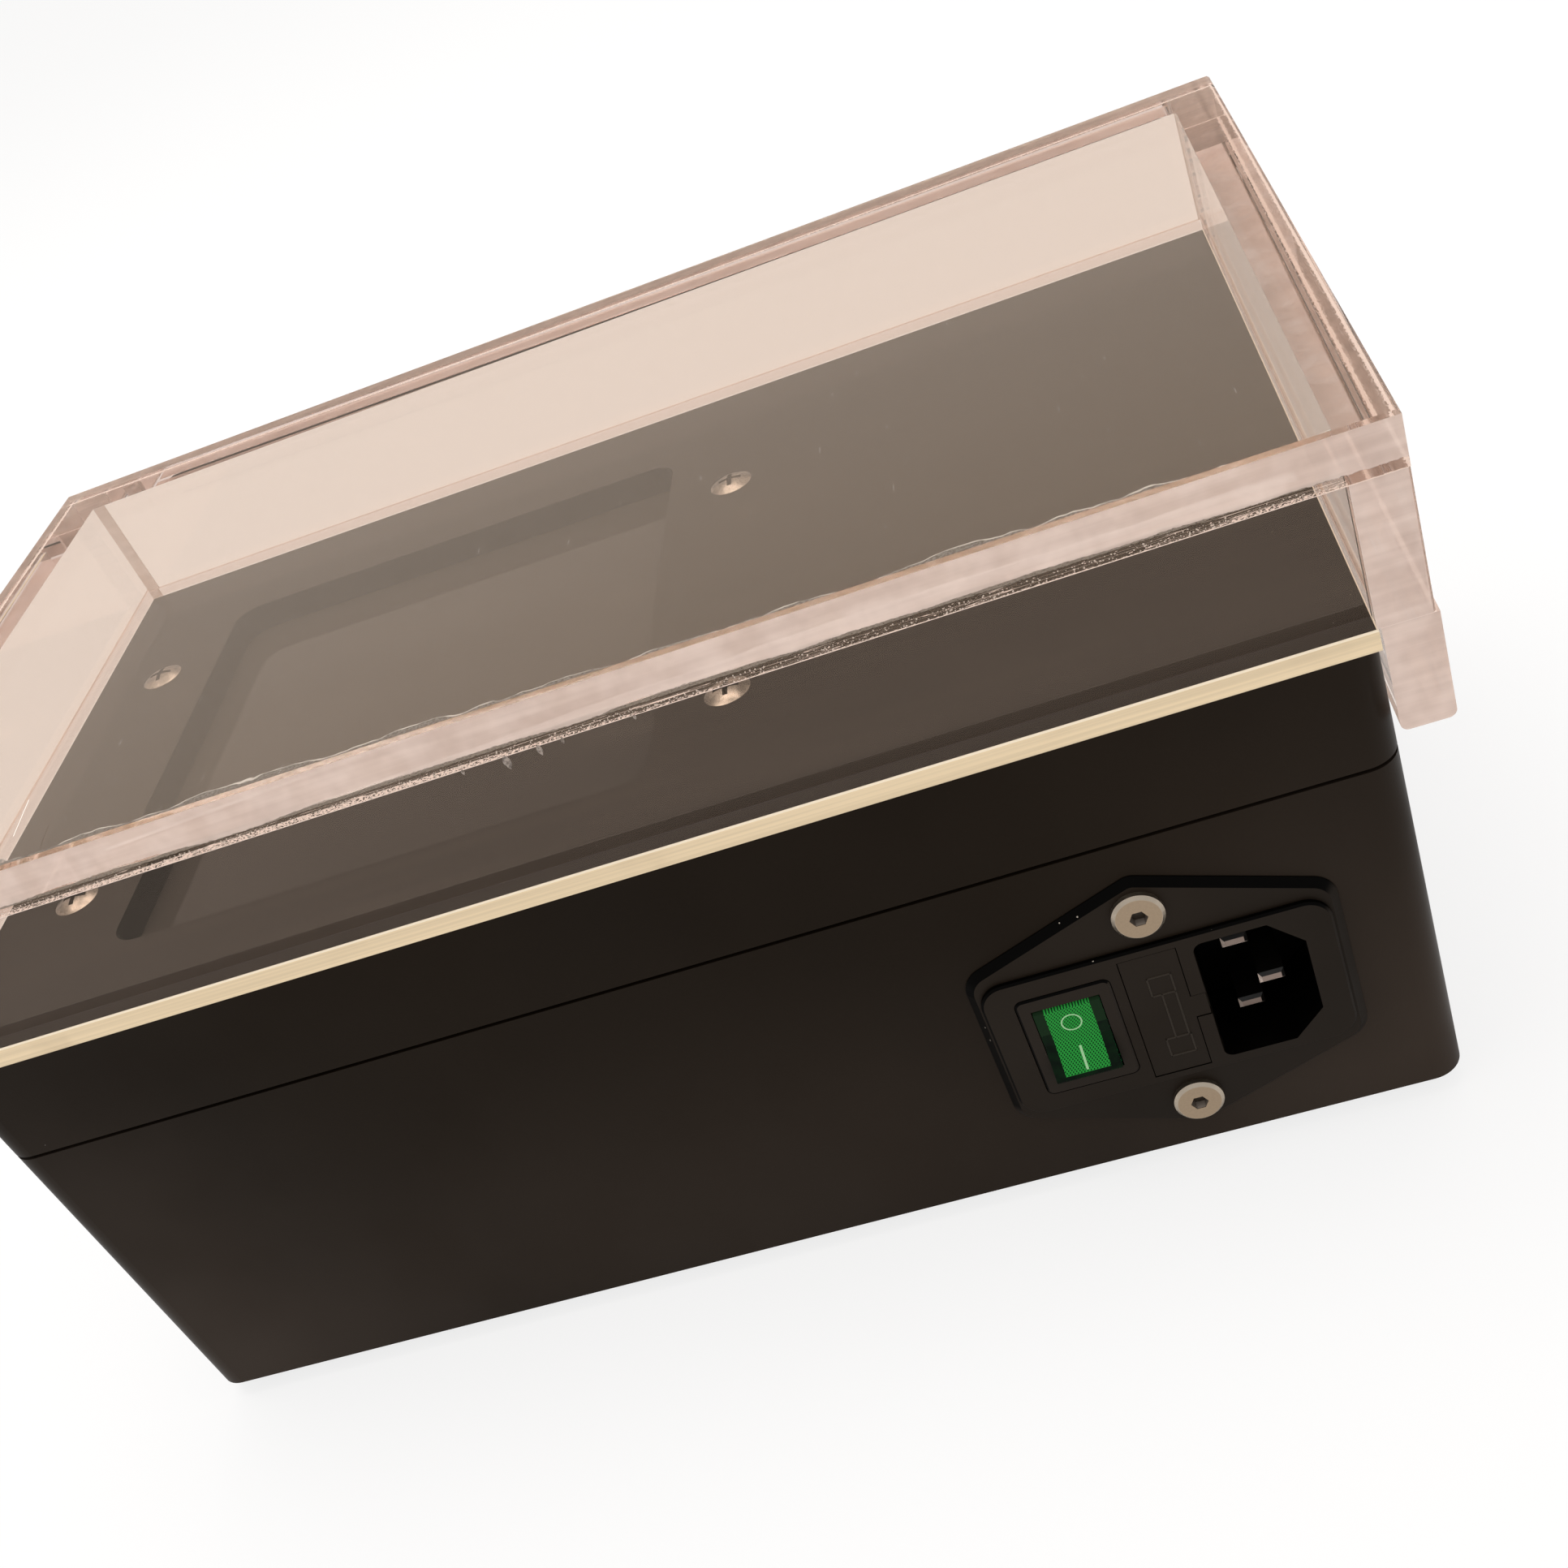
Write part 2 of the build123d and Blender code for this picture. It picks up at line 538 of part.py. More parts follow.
def fuse_drawer():
    """Drawer with two cross pockets for fuses and a face with a pry tab."""
    face = on_rear(drawer_front_outline(), FACE_N - DRAWER_FACE - 0.1, FACE_N - 0.1)
    centre = Pos(DRAWER_U, 0)
    width = DRAWER_WIDTH - 0.3
    tray = on_rear(centre * Rectangle(width, DRAWER_HEIGHT - 0.9), FACE_N - DRAWER_DEPTH, FACE_N - DRAWER_FACE - 0.1)
    pocket = centre * Rectangle(width, FUSE_LENGTH + 0.2)
    half = FUSE_DIAMETER / 2 + 0.1
    for n in fuse_places():
        tray -= on_rear(pocket, n - half, n + half)
    return face + tray


def fuses():
    """Two cartridge fuses, each a glass tube with wider end caps."""
    half, radius, glass = FUSE_LENGTH / 2, FUSE_DIAMETER / 2, FUSE_DIAMETER / 2 - 0.3
    points = [(0, -half), (radius, -half), (radius, FUSE_CAP - half), (glass, FUSE_CAP - half)]
    points += [(x, -y) for x, y in reversed(points)]
    fuse = revolve(Plane.XZ * make_face(Polyline(*points, close=True)), Axis.Z)
    return [Pos(INLET_X - DRAWER_U, REAR_Y + n, INLET_Z) * fuse for n in fuse_places()]


def lamp_rows():
    """Distances y of the lamp axes."""
    first = -(LAMP_COUNT - 1) / 2
    return [BODY_Y + (first + i) * LAMP_PITCH for i in range(LAMP_COUNT)]


def along_x(radius, x0, x1, y, z):
    """A round bar along X."""
    return Pos((x0 + x1) / 2, y, z) * Cylinder(radius, x1 - x0, rotation=(0, 90, 0))


def lamp_tubes():
    """Glass tubes between their end caps."""
    half = LAMP_LENGTH / 2 - CAP_LENGTH
    return [along_x(LAMP_DIAMETER / 2, LAMP_X - half, LAMP_X + half, y, LAMP_Z) for y in lamp_rows()]


def lamp_cap(y, side):
    """Metal cap with two contact pins at one end of a lamp."""
    inner, outer = LAMP_X + side * (LAMP_LENGTH / 2 - CAP_LENGTH), LAMP_X + side * LAMP_LENGTH / 2
    cap = along_x(CAP_DIAMETER / 2, min(inner, outer), max(inner, outer), y, LAMP_Z)
    pins = Plane(origin=(outer, y, LAMP_Z), x_dir=(0, 1, 0), z_dir=(side, 0, 0))
    pin = RegularPolygon(PIN_DIAMETER / 2, 6)
    for across in (-PIN_SPACING / 2, PIN_SPACING / 2):
        cap += extrude(pins * Pos(across, 0) * pin, PIN_LENGTH)
    return cap


def lamp_caps():
    """Both caps of each lamp."""
    return [lamp_cap(y, side) for y in lamp_rows() for side in (-1, 1)]


def lamp_holder(y, side):
    """Push-in holder standing on the tray, with a slot for the two pins."""
    near = LAMP_LENGTH / 2 + 0.3
    x = LAMP_X + side * (near + HOLDER_THICKNESS / 2)
    top = LAMP_Z + LAMP_DIAMETER / 2 + 0.75
    holder = prism(HOLDER_THICKNESS, HOLDER_WIDTH, 0, TRAY_Z + TRAY_SHEET, top, x=x, y=y)
    slot_depth = PIN_LENGTH + 0.4
    slot = Pos(LAMP_X + side * (near + slot_depth / 2), y, (LAMP_Z - PIN_CLEAR + top) / 2)
    return holder - slot * Box(slot_depth, SLOT_WIDTH, top - LAMP_Z + PIN_CLEAR)


def lamp_holders():
    """A holder at both ends of each lamp."""
    return [lamp_holder(y, side) for y in lamp_rows() for side in (-1, 1)]


def tray_posts():
    """Places of the posts that carry the reflector tray."""
    return [(x, BODY_Y + sy * POST_Y) for x in POST_X for sy in (-1, 1)]


def reflector_tray():
    """Folded reflector: flat floor, sloping sides and outer flanges screwed to the posts."""
    half, rise, lean = 43.0, 24.0, 5.0
    t = TRAY_SHEET
    outer = [(half, TRAY_Z), (half + lean, TRAY_Z + rise)]
    inner = [(half + lean - t, TRAY_Z + rise), (half - t, TRAY_Z + t)]
    right = outer + inner
    points = right + [(-y, z) for y, z in reversed(right)]
    across = Plane(origin=(LAMP_X - 77.6, BODY_Y, 0), x_dir=(0, 1, 0), z_dir=(1, 0, 0))
    tray = extrude(across * make_face(Polyline(*points, close=True)), 155.2)
    for x, y in tray_posts():
        foot = Pos(x, (y + BODY_Y + (half - 1) * (1 if y > BODY_Y else -1)) / 2, TRAY_Z + t / 2)
        tray += foot * Box(10.0, abs(y - BODY_Y) - half + 1 + 10.0, t)
        tray -= post(x, y, M3_CLEAR, TRAY_Z, TRAY_Z + t)
    return tray


def hex_screw(diameter, length, across, head_height):
    """Hexagon-head screw hanging down from z = 0."""
    head = extrude(RegularPolygon(across / 2, 6, major_radius=False), head_height)
    return head + Pos(0, 0, -length / 2) * Cylinder(diameter / 2, length)


def socket_screw(diameter, length, head_diameter, head_height):
    """Cylinder-head screw hanging down from z = 0, with a hexagon socket."""
    screw = Pos(0, 0, -length / 2) * Cylinder(diameter / 2, length)
    screw += Pos(0, 0, head_height / 2) * Cylinder(head_diameter / 2, head_height)
    socket = extrude(RegularPolygon(HEX_KEY / 2, 6, major_radius=False), head_height)
    return screw - Pos(0, 0, head_height / 2) * socket


def tray_screws():
    """Screws that hold the reflector tray on its posts."""
    screw = hex_screw(M3, TRAY_SCREW_LENGTH, M3_HEX, M3_HEAD)
    return [Pos(x, y, TRAY_Z + TRAY_SHEET) * screw for x, y in tray_posts()]


def case_screws():
    """Long screws from below, through the base bosses into the lid bosses."""
    screw = Rot(180, 0, 0) * socket_screw(M4, CASE_SCREW_LENGTH, M4_CAP_HEAD, M4)
    return [Pos(x, y, WEB_Z) * screw for x, y in four(BOSS_X, BOSS_Y)]


def rubber_feet():
    """Push-in feet: a tapered pad, a stem through the floor and a retaining bead."""
    pad, stem, bead = FOOT_DIAMETER / 2, FOOT_STEM / 2, FOOT_BEAD / 2
    top = FOOT_HEIGHT + FLOOR
    points = [(0, 0), (pad - 0.8, 0), (pad, FOOT_HEIGHT), (stem, FOOT_HEIGHT), (stem, top)]
    points += [(bead, top), (stem - 0.5, top + BEAD_HEIGHT), (0, top + BEAD_HEIGHT)]
    foot = revolve(Plane.XZ * make_face(Polyline(*points, close=True)), Axis.Z)
    return [Pos(x, y, 0) * foot for x, y in four(FOOT_X, FOOT_Y)]


def ballast_places():
    """Places of the two screws that hold the ballast."""
    reach = BALLAST_SIZE[1] / 2 - EAR_INSET
    centre_y = BODY_Y - BALLAST_SHIFT
    return [(BALLAST_X, centre_y - reach), (BALLAST_X, centre_y + reach)]


def ballast_case():
    """Electronic ballast: a case on two ears."""
    length, depth, height = BALLAST_SIZE
    centre_y = BODY_Y - BALLAST_SHIFT
    foot = Z_BASE + 2 * FLOOR
    case = prism(length, depth - 4 * EAR_INSET, 0, foot, foot + height, x=BALLAST_X, y=centre_y)
    case = chamfer(case.faces().sort_by(Axis.Z)[-1].edges(), 1.0)
    case += prism(20.0, depth, 0, foot, foot + EAR_SHEET, x=BALLAST_X, y=centre_y)
    for x, y in ballast_places():
        case -= post(x, y, M3_CLEAR, foot, foot + EAR_SHEET)
    return case


def ballast_screws():
    """Screws in the ears of the ballast."""
    screw = hex_screw(M3, BALLAST_SCREW_LENGTH, M3_HEX, M3_HEAD)
    return [Pos(x, y, Z_BASE + 2 * FLOOR + EAR_SHEET) * screw for x, y in ballast_places()]


def terminal_block():
    """Row of screw terminals on top of the ballast, each with a wire hole right through."""
    foot = Z_BASE + 2 * FLOOR + BALLAST_SIZE[2]
    y = BODY_Y - 2.0
    block = prism(44.0, 14.0, 0, foot, foot + BLOCK_HEIGHT, x=BALLAST_X, y=y)
    for i in range(5):
        x = BALLAST_X + (i - 2) * TERMINAL_PITCH
        block -= post(x, y, 4.2, foot + BLOCK_HEIGHT / 2, foot + BLOCK_HEIGHT)
        block -= Pos(x, y, foot + 4.0) * Box(3.4, 14.0, 3.4)
    return block


NODES = {
    "base_tray": base_tray,
    "lid_frame": lid_frame,
    "top_plate": top_plate,
    "plate_screws": lambda: group(plate_screw_solids()),
    "filter_gasket": filter_gasket,
    "filter_glass": filter_glass,
    "filter_frame": filter_frame,
    "lamp_tubes": lambda: group(lamp_tubes()),
    "lamp_caps": lambda: group(lamp_caps()),
    "lamp_holders": lambda: group(lamp_holders()),
    "reflector_tray": reflector_tray,
    "tray_screws": lambda: group(tray_screws()),
    "ballast_case": ballast_case,
    "ballast_screws": lambda: group(ballast_screws()),
    "terminal_block": terminal_block,
    "inlet_body": inlet_body,
    "inlet_blades": lambda: group(inlet_blades()),
    "inlet_screws": lambda: group(inlet_screws()),
    "inlet_nuts": lambda: group(inlet_nuts()),
    "switch_housing": switch_housing,
    "switch_tabs": lambda: group(switch_tabs()),
    "rocker": rocker,
    "fuse_drawer": fuse_drawer,
    "fuses": lambda: group(fuses()),
    "case_screws": lambda: group(case_screws()),
    "rubber_feet": lambda: group(rubber_feet()),
    "cover_top": cover_top,
    "cover_rear_wall": cover_rear_wall,
    "cover_front_wall": cover_front_wall,
    "cover_left_wall": lambda: cover_side_wall(-1),
    "cover_right_wall": lambda: cover_side_wall(1),
    "cover_left_lip": lambda: cover_side_lip(-1),
    "cover_right_lip": lambda: cover_side_lip(1),
    "cover_front_lip": cover_front_lip,
}

os.makedirs("parts", exist_ok=True)
for name, make in NODES.items():
    export_step(make(), f"parts/{name}.step")
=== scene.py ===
"""Looks of a bench ultraviolet transilluminator with a clear lift-off cover.

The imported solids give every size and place. This script gives each of them a finish, adds the cement
marks, hairline scratches and the raised fuse sign, and sets a floor, a lamp and a camera.
Lengths inside finishes are in millimetres; objects are in metres.
"""

import json
import logging
import math
from dataclasses import dataclass
from enum import Enum
from functools import reduce
from typing import Any, Mapping, Optional, Sequence, Union

import bmesh
import bpy
from mathutils import Matrix, Vector


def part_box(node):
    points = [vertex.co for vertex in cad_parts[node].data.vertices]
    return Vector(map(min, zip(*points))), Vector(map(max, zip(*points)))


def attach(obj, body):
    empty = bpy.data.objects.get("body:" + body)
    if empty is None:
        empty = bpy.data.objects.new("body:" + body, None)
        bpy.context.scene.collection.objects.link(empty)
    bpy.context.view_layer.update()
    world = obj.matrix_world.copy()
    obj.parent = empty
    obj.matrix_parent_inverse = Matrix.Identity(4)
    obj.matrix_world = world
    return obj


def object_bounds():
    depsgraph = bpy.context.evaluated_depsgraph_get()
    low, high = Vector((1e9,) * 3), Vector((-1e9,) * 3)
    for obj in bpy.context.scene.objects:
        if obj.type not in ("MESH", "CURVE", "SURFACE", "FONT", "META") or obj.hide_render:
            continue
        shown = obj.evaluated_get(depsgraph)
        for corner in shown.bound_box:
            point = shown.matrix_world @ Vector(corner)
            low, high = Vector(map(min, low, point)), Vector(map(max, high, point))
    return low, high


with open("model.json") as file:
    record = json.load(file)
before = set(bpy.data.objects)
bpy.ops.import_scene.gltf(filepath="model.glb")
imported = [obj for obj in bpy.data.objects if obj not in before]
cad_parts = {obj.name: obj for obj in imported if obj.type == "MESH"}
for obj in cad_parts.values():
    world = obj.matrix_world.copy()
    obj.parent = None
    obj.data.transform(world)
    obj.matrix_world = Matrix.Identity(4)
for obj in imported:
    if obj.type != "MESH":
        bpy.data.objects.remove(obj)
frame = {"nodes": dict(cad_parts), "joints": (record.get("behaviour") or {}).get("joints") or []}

CAD_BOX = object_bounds()
MM = 0.001
TO_MM = 1000.0
ON_FACE = 0.05
SEEN = ("Is Camera Ray", "Is Glossy Ray", "Is Transmission Ray")
LOG = logging.getLogger("transilluminator")

Colour = tuple[float, float, float]
Number = Union["Value", float]
Given = Optional[Mapping[Any, Any]]
Face = Sequence[Sequence[float]]
Socket = bpy.types.NodeSocket
Material = bpy.types.Material
Piece = bpy.types.Object


def scaled(colour: Colour, factor: float) -> Colour:
    """The same colour, darker or lighter."""
    return tuple(part * factor for part in colour)


def spans(node: str) -> tuple[Vector, Vector]:
    """Middle of a node's box in metres, and half of its size in millimetres."""
    low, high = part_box(node)
    return (low + high) / 2, (high - low) / 2 * TO_MM


class Body(Enum):
    """Bodies that pieces ride on."""

    HOUSING = "housing"
    COVER = "cover"
    DRAWER = "drawer"


class Value:
    """A shader socket that takes part in Python expressions."""

    def __init__(self, graph: "Nodes", socket: Socket) -> None:
        """Wraps one output socket.

        Args:
            graph: the node tree that the socket belongs to.
            socket: an output that holds one number.
        """
        self.graph = graph
        self.socket = socket

    def math(self, operation: str, *others: Number) -> "Value":
        """Adds one Math node.

        Args:
            operation: Blender's name of the operation.
            others: its second and third values.

        Returns:
            The node's result.
        """
        values = dict(enumerate((self, *others)))
        return self.graph.value("ShaderNodeMath", {"operation": operation}, values)

    def __add__(self, other: Number) -> "Value":
        """Sum."""
        return self.math("ADD", other)

    __radd__ = __add__

    def __sub__(self, other: Number) -> "Value":
        """Difference."""
        return self.math("SUBTRACT", other)

    def __rsub__(self, other: float) -> "Value":
        """Difference with a plain number on the left."""
        return self.graph.value("ShaderNodeMath", {"operation": "SUBTRACT"}, {0: other, 1: self})

    def __mul__(self, other: Number) -> "Value":
        """Product."""
        return self.math("MULTIPLY", other)

    __rmul__ = __mul__

    def __abs__(self) -> "Value":
        """Size without sign."""
        return self.math("ABSOLUTE")

    def __gt__(self, other: Number) -> "Value":
        """One where this is greater, else zero."""
        return self.math("GREATER_THAN", other)

    def __lt__(self, other: Number) -> "Value":
        """One where this is less, else zero."""
        return self.math("LESS_THAN", other)

    def least(self, other: Number) -> "Value":
        """The lesser of two."""
        return self.math("MINIMUM", other)

    def most(self, other: Number) -> "Value":
        """The greater of two."""
        return self.math("MAXIMUM", other)

    def ramp(self, low: float, high: float, start: float = 0.0, end: float = 1.0) -> "Value":
        """Turns a stretch of this value into another, with soft ends.

        Args:
            low: where the result is start.
            high: where the result is end.
            start: result up to low.
            end: result from high.

        Returns:
            The mapped value.
        """
        settings = {"interpolation_type": "SMOOTHSTEP"}
        values = {"Value": self, "From Min": low, "From Max": high, "To Min": start, "To Max": end}
        return self.graph.value("ShaderNodeMapRange", settings, values)

    def spread(self, start: float = 0.0, end: float = 1.0) -> "Value":
        """Turns noise, most of which lies from 0.3 to 0.7, into start to end."""
        return self.ramp(0.3, 0.7, start, end)


class Nodes:
    """A node tree and the one way of adding to it."""

    def __init__(self, tree: bpy.types.NodeTree) -> None:
        """Takes a tree and empties it."""
        self.tree = tree
        self.tree.nodes.clear()

    def node(self, kind: str, settings: Given = None, values: Given = None) -> bpy.types.Node:
        """Adds a node.

        Args:
            kind: Blender's type name.
            settings: properties of the node, set before its sockets.
            values: socket name or number to a number, colour, Value or output socket.

        Returns:
            The node.
        """
        node = self.tree.nodes.new(kind)
        for key, setting in (settings or {}).items():
            setattr(node, key, setting)
        for key, value in (values or {}).items():
            value = value.socket if isinstance(value, Value) else value
            if isinstance(value, Socket):
                self.tree.links.new(value, node.inputs[key])
            elif isinstance(value, tuple) and node.inputs[key].type == "RGBA":
                node.inputs[key].default_value = (*value[:3], 1.0)
            else:
                node.inputs[key].default_value = value
        return node

    def value(self, kind: str, *given: Any) -> Value:
        """Adds a node, as node does, and wraps its first output."""
        return Value(self, self.node(kind, *given).outputs[0])

    def shader(self, kind: str, values: Given = None) -> Socket:
        """Adds a shader node, without its ShaderNode prefix, and gives its output."""
        return self.node("ShaderNode" + kind, None, values).outputs[0]

    def mix_shader(self, factor: Number, first: Any, second: Any) -> Socket:
        """Blends two shaders."""
        return self.shader("MixShader", {0: factor, 1: first, 2: second})

    def ray(self, *names: str) -> Value:
        """One for rays of the named kinds, else zero."""
        outputs = self.node("ShaderNodeLightPath").outputs
        return reduce(Value.most, [Value(self, outputs[name]) for name in names])


class Graph(Nodes):
    """One material and its nodes."""

    def __init__(self, name: str) -> None:
        """Starts an empty material."""
        self.material = bpy.data.materials.new(name)
        self.material.use_nodes = True
        super().__init__(self.material.node_tree)

    def place(
        self, scale: Sequence[float] = (1.0, 1.0, 1.0), centre: Sequence[float] = (0.0, 0.0, 0.0)
    ) -> Socket:
        """Object coordinates in millimetres.

        Args:
            scale: stretch along each axis; under 1 makes a pattern longer.
            centre: point in metres that becomes the origin.

        Returns:
            The vector output.
        """
        source = self.node("ShaderNodeTexCoord").outputs["Object"]
        shift = tuple(-c * s * TO_MM for c, s in zip(centre, scale))
        size = tuple(s * TO_MM for s in scale)
        values = {"Vector": source, "Location": shift, "Scale": size}
        return self.node("ShaderNodeMapping", None, values).outputs[0]

    def parts(self, vector: Socket) -> tuple[Value, Value, Value]:
        """The x, y and z of a vector."""
        split = self.node("ShaderNodeSeparateXYZ", None, {0: vector})
        return tuple(Value(self, output) for output in split.outputs)

    def axes(self, centre: Sequence[float] = (0.0, 0.0, 0.0)) -> tuple[Value, Value, Value]:
        """Object coordinates x, y and z in millimetres from a centre in metres."""
        return self.parts(self.place(centre=centre))

    def facing(self) -> tuple[Value, Value, Value]:
        """Parts of the surface's own direction."""
        return self.parts(self.node("ShaderNodeNewGeometry").outputs["Normal"])

    def noise(self, size: float, stretch: Sequence[float] = (1.0, 1.0, 1.0), detail: float = 2.0) -> Value:
        """Smooth random value from about 0 to 1.

        Args:
            size: length of a feature in millimetres.
            stretch: as scale in place.
            detail: finer octaves.

        Returns:
            The noise.
        """
        values = {"Vector": self.place(stretch), "Scale": 1.0 / size, "Detail": detail}
        return self.value("ShaderNodeTexNoise", None, values)

    def specks(self, spacing: float, radius: float) -> Value:
        """Sparse round dots of unequal size.

        Args:
            spacing: mean distance between dots in millimetres.
            radius: largest radius in millimetres.

        Returns:
            One inside a dot, else zero.
        """
        values = {"Vector": self.place(), "Scale": 1.0 / spacing, "Randomness": 1.0}
        cells = self.node("ShaderNodeTexVoronoi", {"feature": "F1"}, values)
        distance = Value(self, cells.outputs["Distance"])
        chance = self.value("ShaderNodeSeparateColor", None, {0: cells.outputs["Color"]})
        return distance * spacing < chance.ramp(0.55, 1.0, 0.0, radius)

    def mix(self, factor: Number, first: Any, second: Any) -> Socket:
        """Blends two colours."""
        settings = {"data_type": "RGBA", "clamp_factor": True}
        return self.node("ShaderNodeMix", settings, {0: factor, 6: first, 7: second}).outputs[2]

    def tones(self, factor: Number, colour: Colour, dark: float, light: float = 1.0) -> Socket:
        """Blends a darker and a lighter form of one colour."""
        return self.mix(factor, scaled(colour, dark), scaled(colour, light))

    def bump(self, height: Value, depth: float, strength: float = 1.0) -> Socket:
        """Turns a height from 0 to 1 into a direction; depth is in millimetres."""
        values = {"Height": height, "Distance": depth * MM, "Strength": strength}
        return self.node("ShaderNodeBump", None, values).outputs[0]

    def principled(self, colour: Any, roughness: Number, more: Given = None) -> Socket:
        """Adds the main surface shader; more holds further inputs by name."""
        values = {"Base Color": colour, "Roughness": roughness, **(more or {})}
        return self.shader("BsdfPrincipled", values)

    def finish(self, surface: Socket, volume: Optional[Socket] = None) -> Material:
        """Connects the output and returns the material."""
        links = {"Surface": surface}
        if volume is not None:
            links["Volume"] = volume
        self.node("ShaderNodeOutputMaterial", None, links)
        return self.material


@dataclass(frozen=True)
class Finish:
    """A look that any piece can wear."""

    def surface(self, graph: Graph) -> Socket:
        """Adds the look's nodes to a material and returns its shader."""
        raise NotImplementedError

    def make(self, name: str) -> Material:
        """Builds the material."""
        graph = Graph(name)
        return graph.finish(self.surface(graph))


@dataclass(frozen=True)
class MouldedPlastic(Finish):
    """Fine-grained moulded plastic with handling smudges and a little dust."""

    colour: Colour
    roughness: float = 0.45
    grain: float = 0.35
    depth: float = 0.012
    specular: float = 0.3
    # warm specular tint, a painted reflection of warm surroundings
    painted_reflection_tint: Colour = (1.0, 0.88, 0.76)
    dust: float = 0.09
    # paler colour used as painted floor light on the lower part and the ends
    haze_and_painted_floor_light: Optional[Colour] = None

    def painted_floor_light(self, graph: Graph, base: Socket) -> Socket:
        """Paints floor light onto the lower part as a paler colour, and makes the ends paler too."""
        low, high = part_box("base_tray")
        x, _, z = graph.axes(((low.x + high.x) / 2, 0.0, low.z))
        half = (high.x - low.x) / 2 * TO_MM
        tall = (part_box("lid_frame")[0].z - low.z) * TO_MM
        ends = abs(x).ramp(half * 0.45, half) * 0.4
        share = z.ramp(0.0, tall, 0.52, 0.10) + ends * z.ramp(tall * 0.8, tall * 1.3, 1.0, 0.4)
        cloud = graph.noise(45.0).spread(0.85, 1.15)
        return graph.mix(share * cloud, base, self.haze_and_painted_floor_light)

    def surface(self, graph: Graph) -> Socket:
        """Plastic with its smudges, dust and grain, and painted floor light where that colour is given."""
        base = graph.tones(graph.noise(60.0).ramp(0.35, 0.65), self.colour, 0.82, 1.2)
        # painted floor light: a paler colour towards the bottom and at the ends
        if self.haze_and_painted_floor_light:
            base = self.painted_floor_light(graph, base)
        base = graph.mix(graph.specks(9.0, self.dust) * 0.55, base, (0.5, 0.47, 0.42))
        more = {
            "Specular IOR Level": self.specular,
            "Specular Tint": self.painted_reflection_tint,
            "Normal": graph.bump(graph.noise(self.grain), self.depth),
        }
        rough = graph.noise(26.0, detail=3.0).ramp(0.35, 0.7, self.roughness - 0.05, self.roughness + 0.09)
        return graph.principled(base, rough, more)


@dataclass(frozen=True)
class InletPlastic(MouldedPlastic):
    """Satin on its outer faces; upper bevels and hollows near-black with painted shade."""

    # painted shade in hollows and on upper bevels
    painted_hollow_shade: Colour = (0.0012, 0.0010, 0.0008)
    fleck: Colour = (0.50, 0.45, 0.38)

    def surface(self, graph: Graph) -> Socket:
        """The satin, and the painted shade of bevels and hollows, blended."""
        side, out, up = graph.facing()
        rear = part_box("base_tray")[1].y
        _, depth, _ = graph.axes((0.0, rear, 0.0))
        # painted shade: bevels that face up are darkened by their direction, hollows deeper than 1 mm by
        # depth
        painted_bevel_shade = (1.0 - out.ramp(0.8, 0.97)) * (up + side * 0.3).ramp(-0.05, 0.3)
        deep = depth < -1.0
        flecks = graph.specks(1.5, 0.14) * (depth > -0.5) * (out > 0.3)
        more = {"Specular IOR Level": 0.03}
        rough = graph.noise(1.5).spread(0.3, 0.42)
        polished_painted_shade = graph.principled(graph.mix(flecks * 0.8, self.painted_hollow_shade, self.fleck), rough, more)
        return graph.mix_shader(painted_bevel_shade.most(deep), super().surface(graph), polished_painted_shade)


@dataclass(frozen=True)
class PlainPlastic(Finish):
    """Smooth plastic of the pieces inside."""

    colour: Colour
    roughness: float = 0.35

    def surface(self, graph: Graph) -> Socket:
        """An even tone with a faint ripple."""
        base = graph.tones(graph.noise(14.0), self.colour, 0.9)
        more = {"Normal": graph.bump(graph.noise(0.5), 0.008)}
        rough = graph.noise(3.0).spread(self.roughness - 0.06, self.roughness + 0.06)
        return graph.principled(base, rough, more)


@dataclass(frozen=True)
class Metal(Finish):
    """Plain metal with fine working marks."""

    colour: Colour
    roughness: float = 0.3
    stretch: tuple[float, float, float] = (1.0, 1.0, 1.0)
    mark: float = 0.12
    depth: float = 0.006
    stain: float = 0.82

    def surface(self, graph: Graph) -> Socket:
        """Metal with its marks and stains."""
        marks = graph.noise(self.mark, self.stretch, 3.0)
        cloud = graph.noise(2.6, detail=3.0)
        base = graph.tones(cloud.ramp(0.35, 0.65), self.colour, self.stain)
        more = {"Metallic": 1.0, "Normal": graph.bump(marks, self.depth)}
        return graph.principled(base, marks.spread(self.roughness - 0.08, self.roughness + 0.1), more)


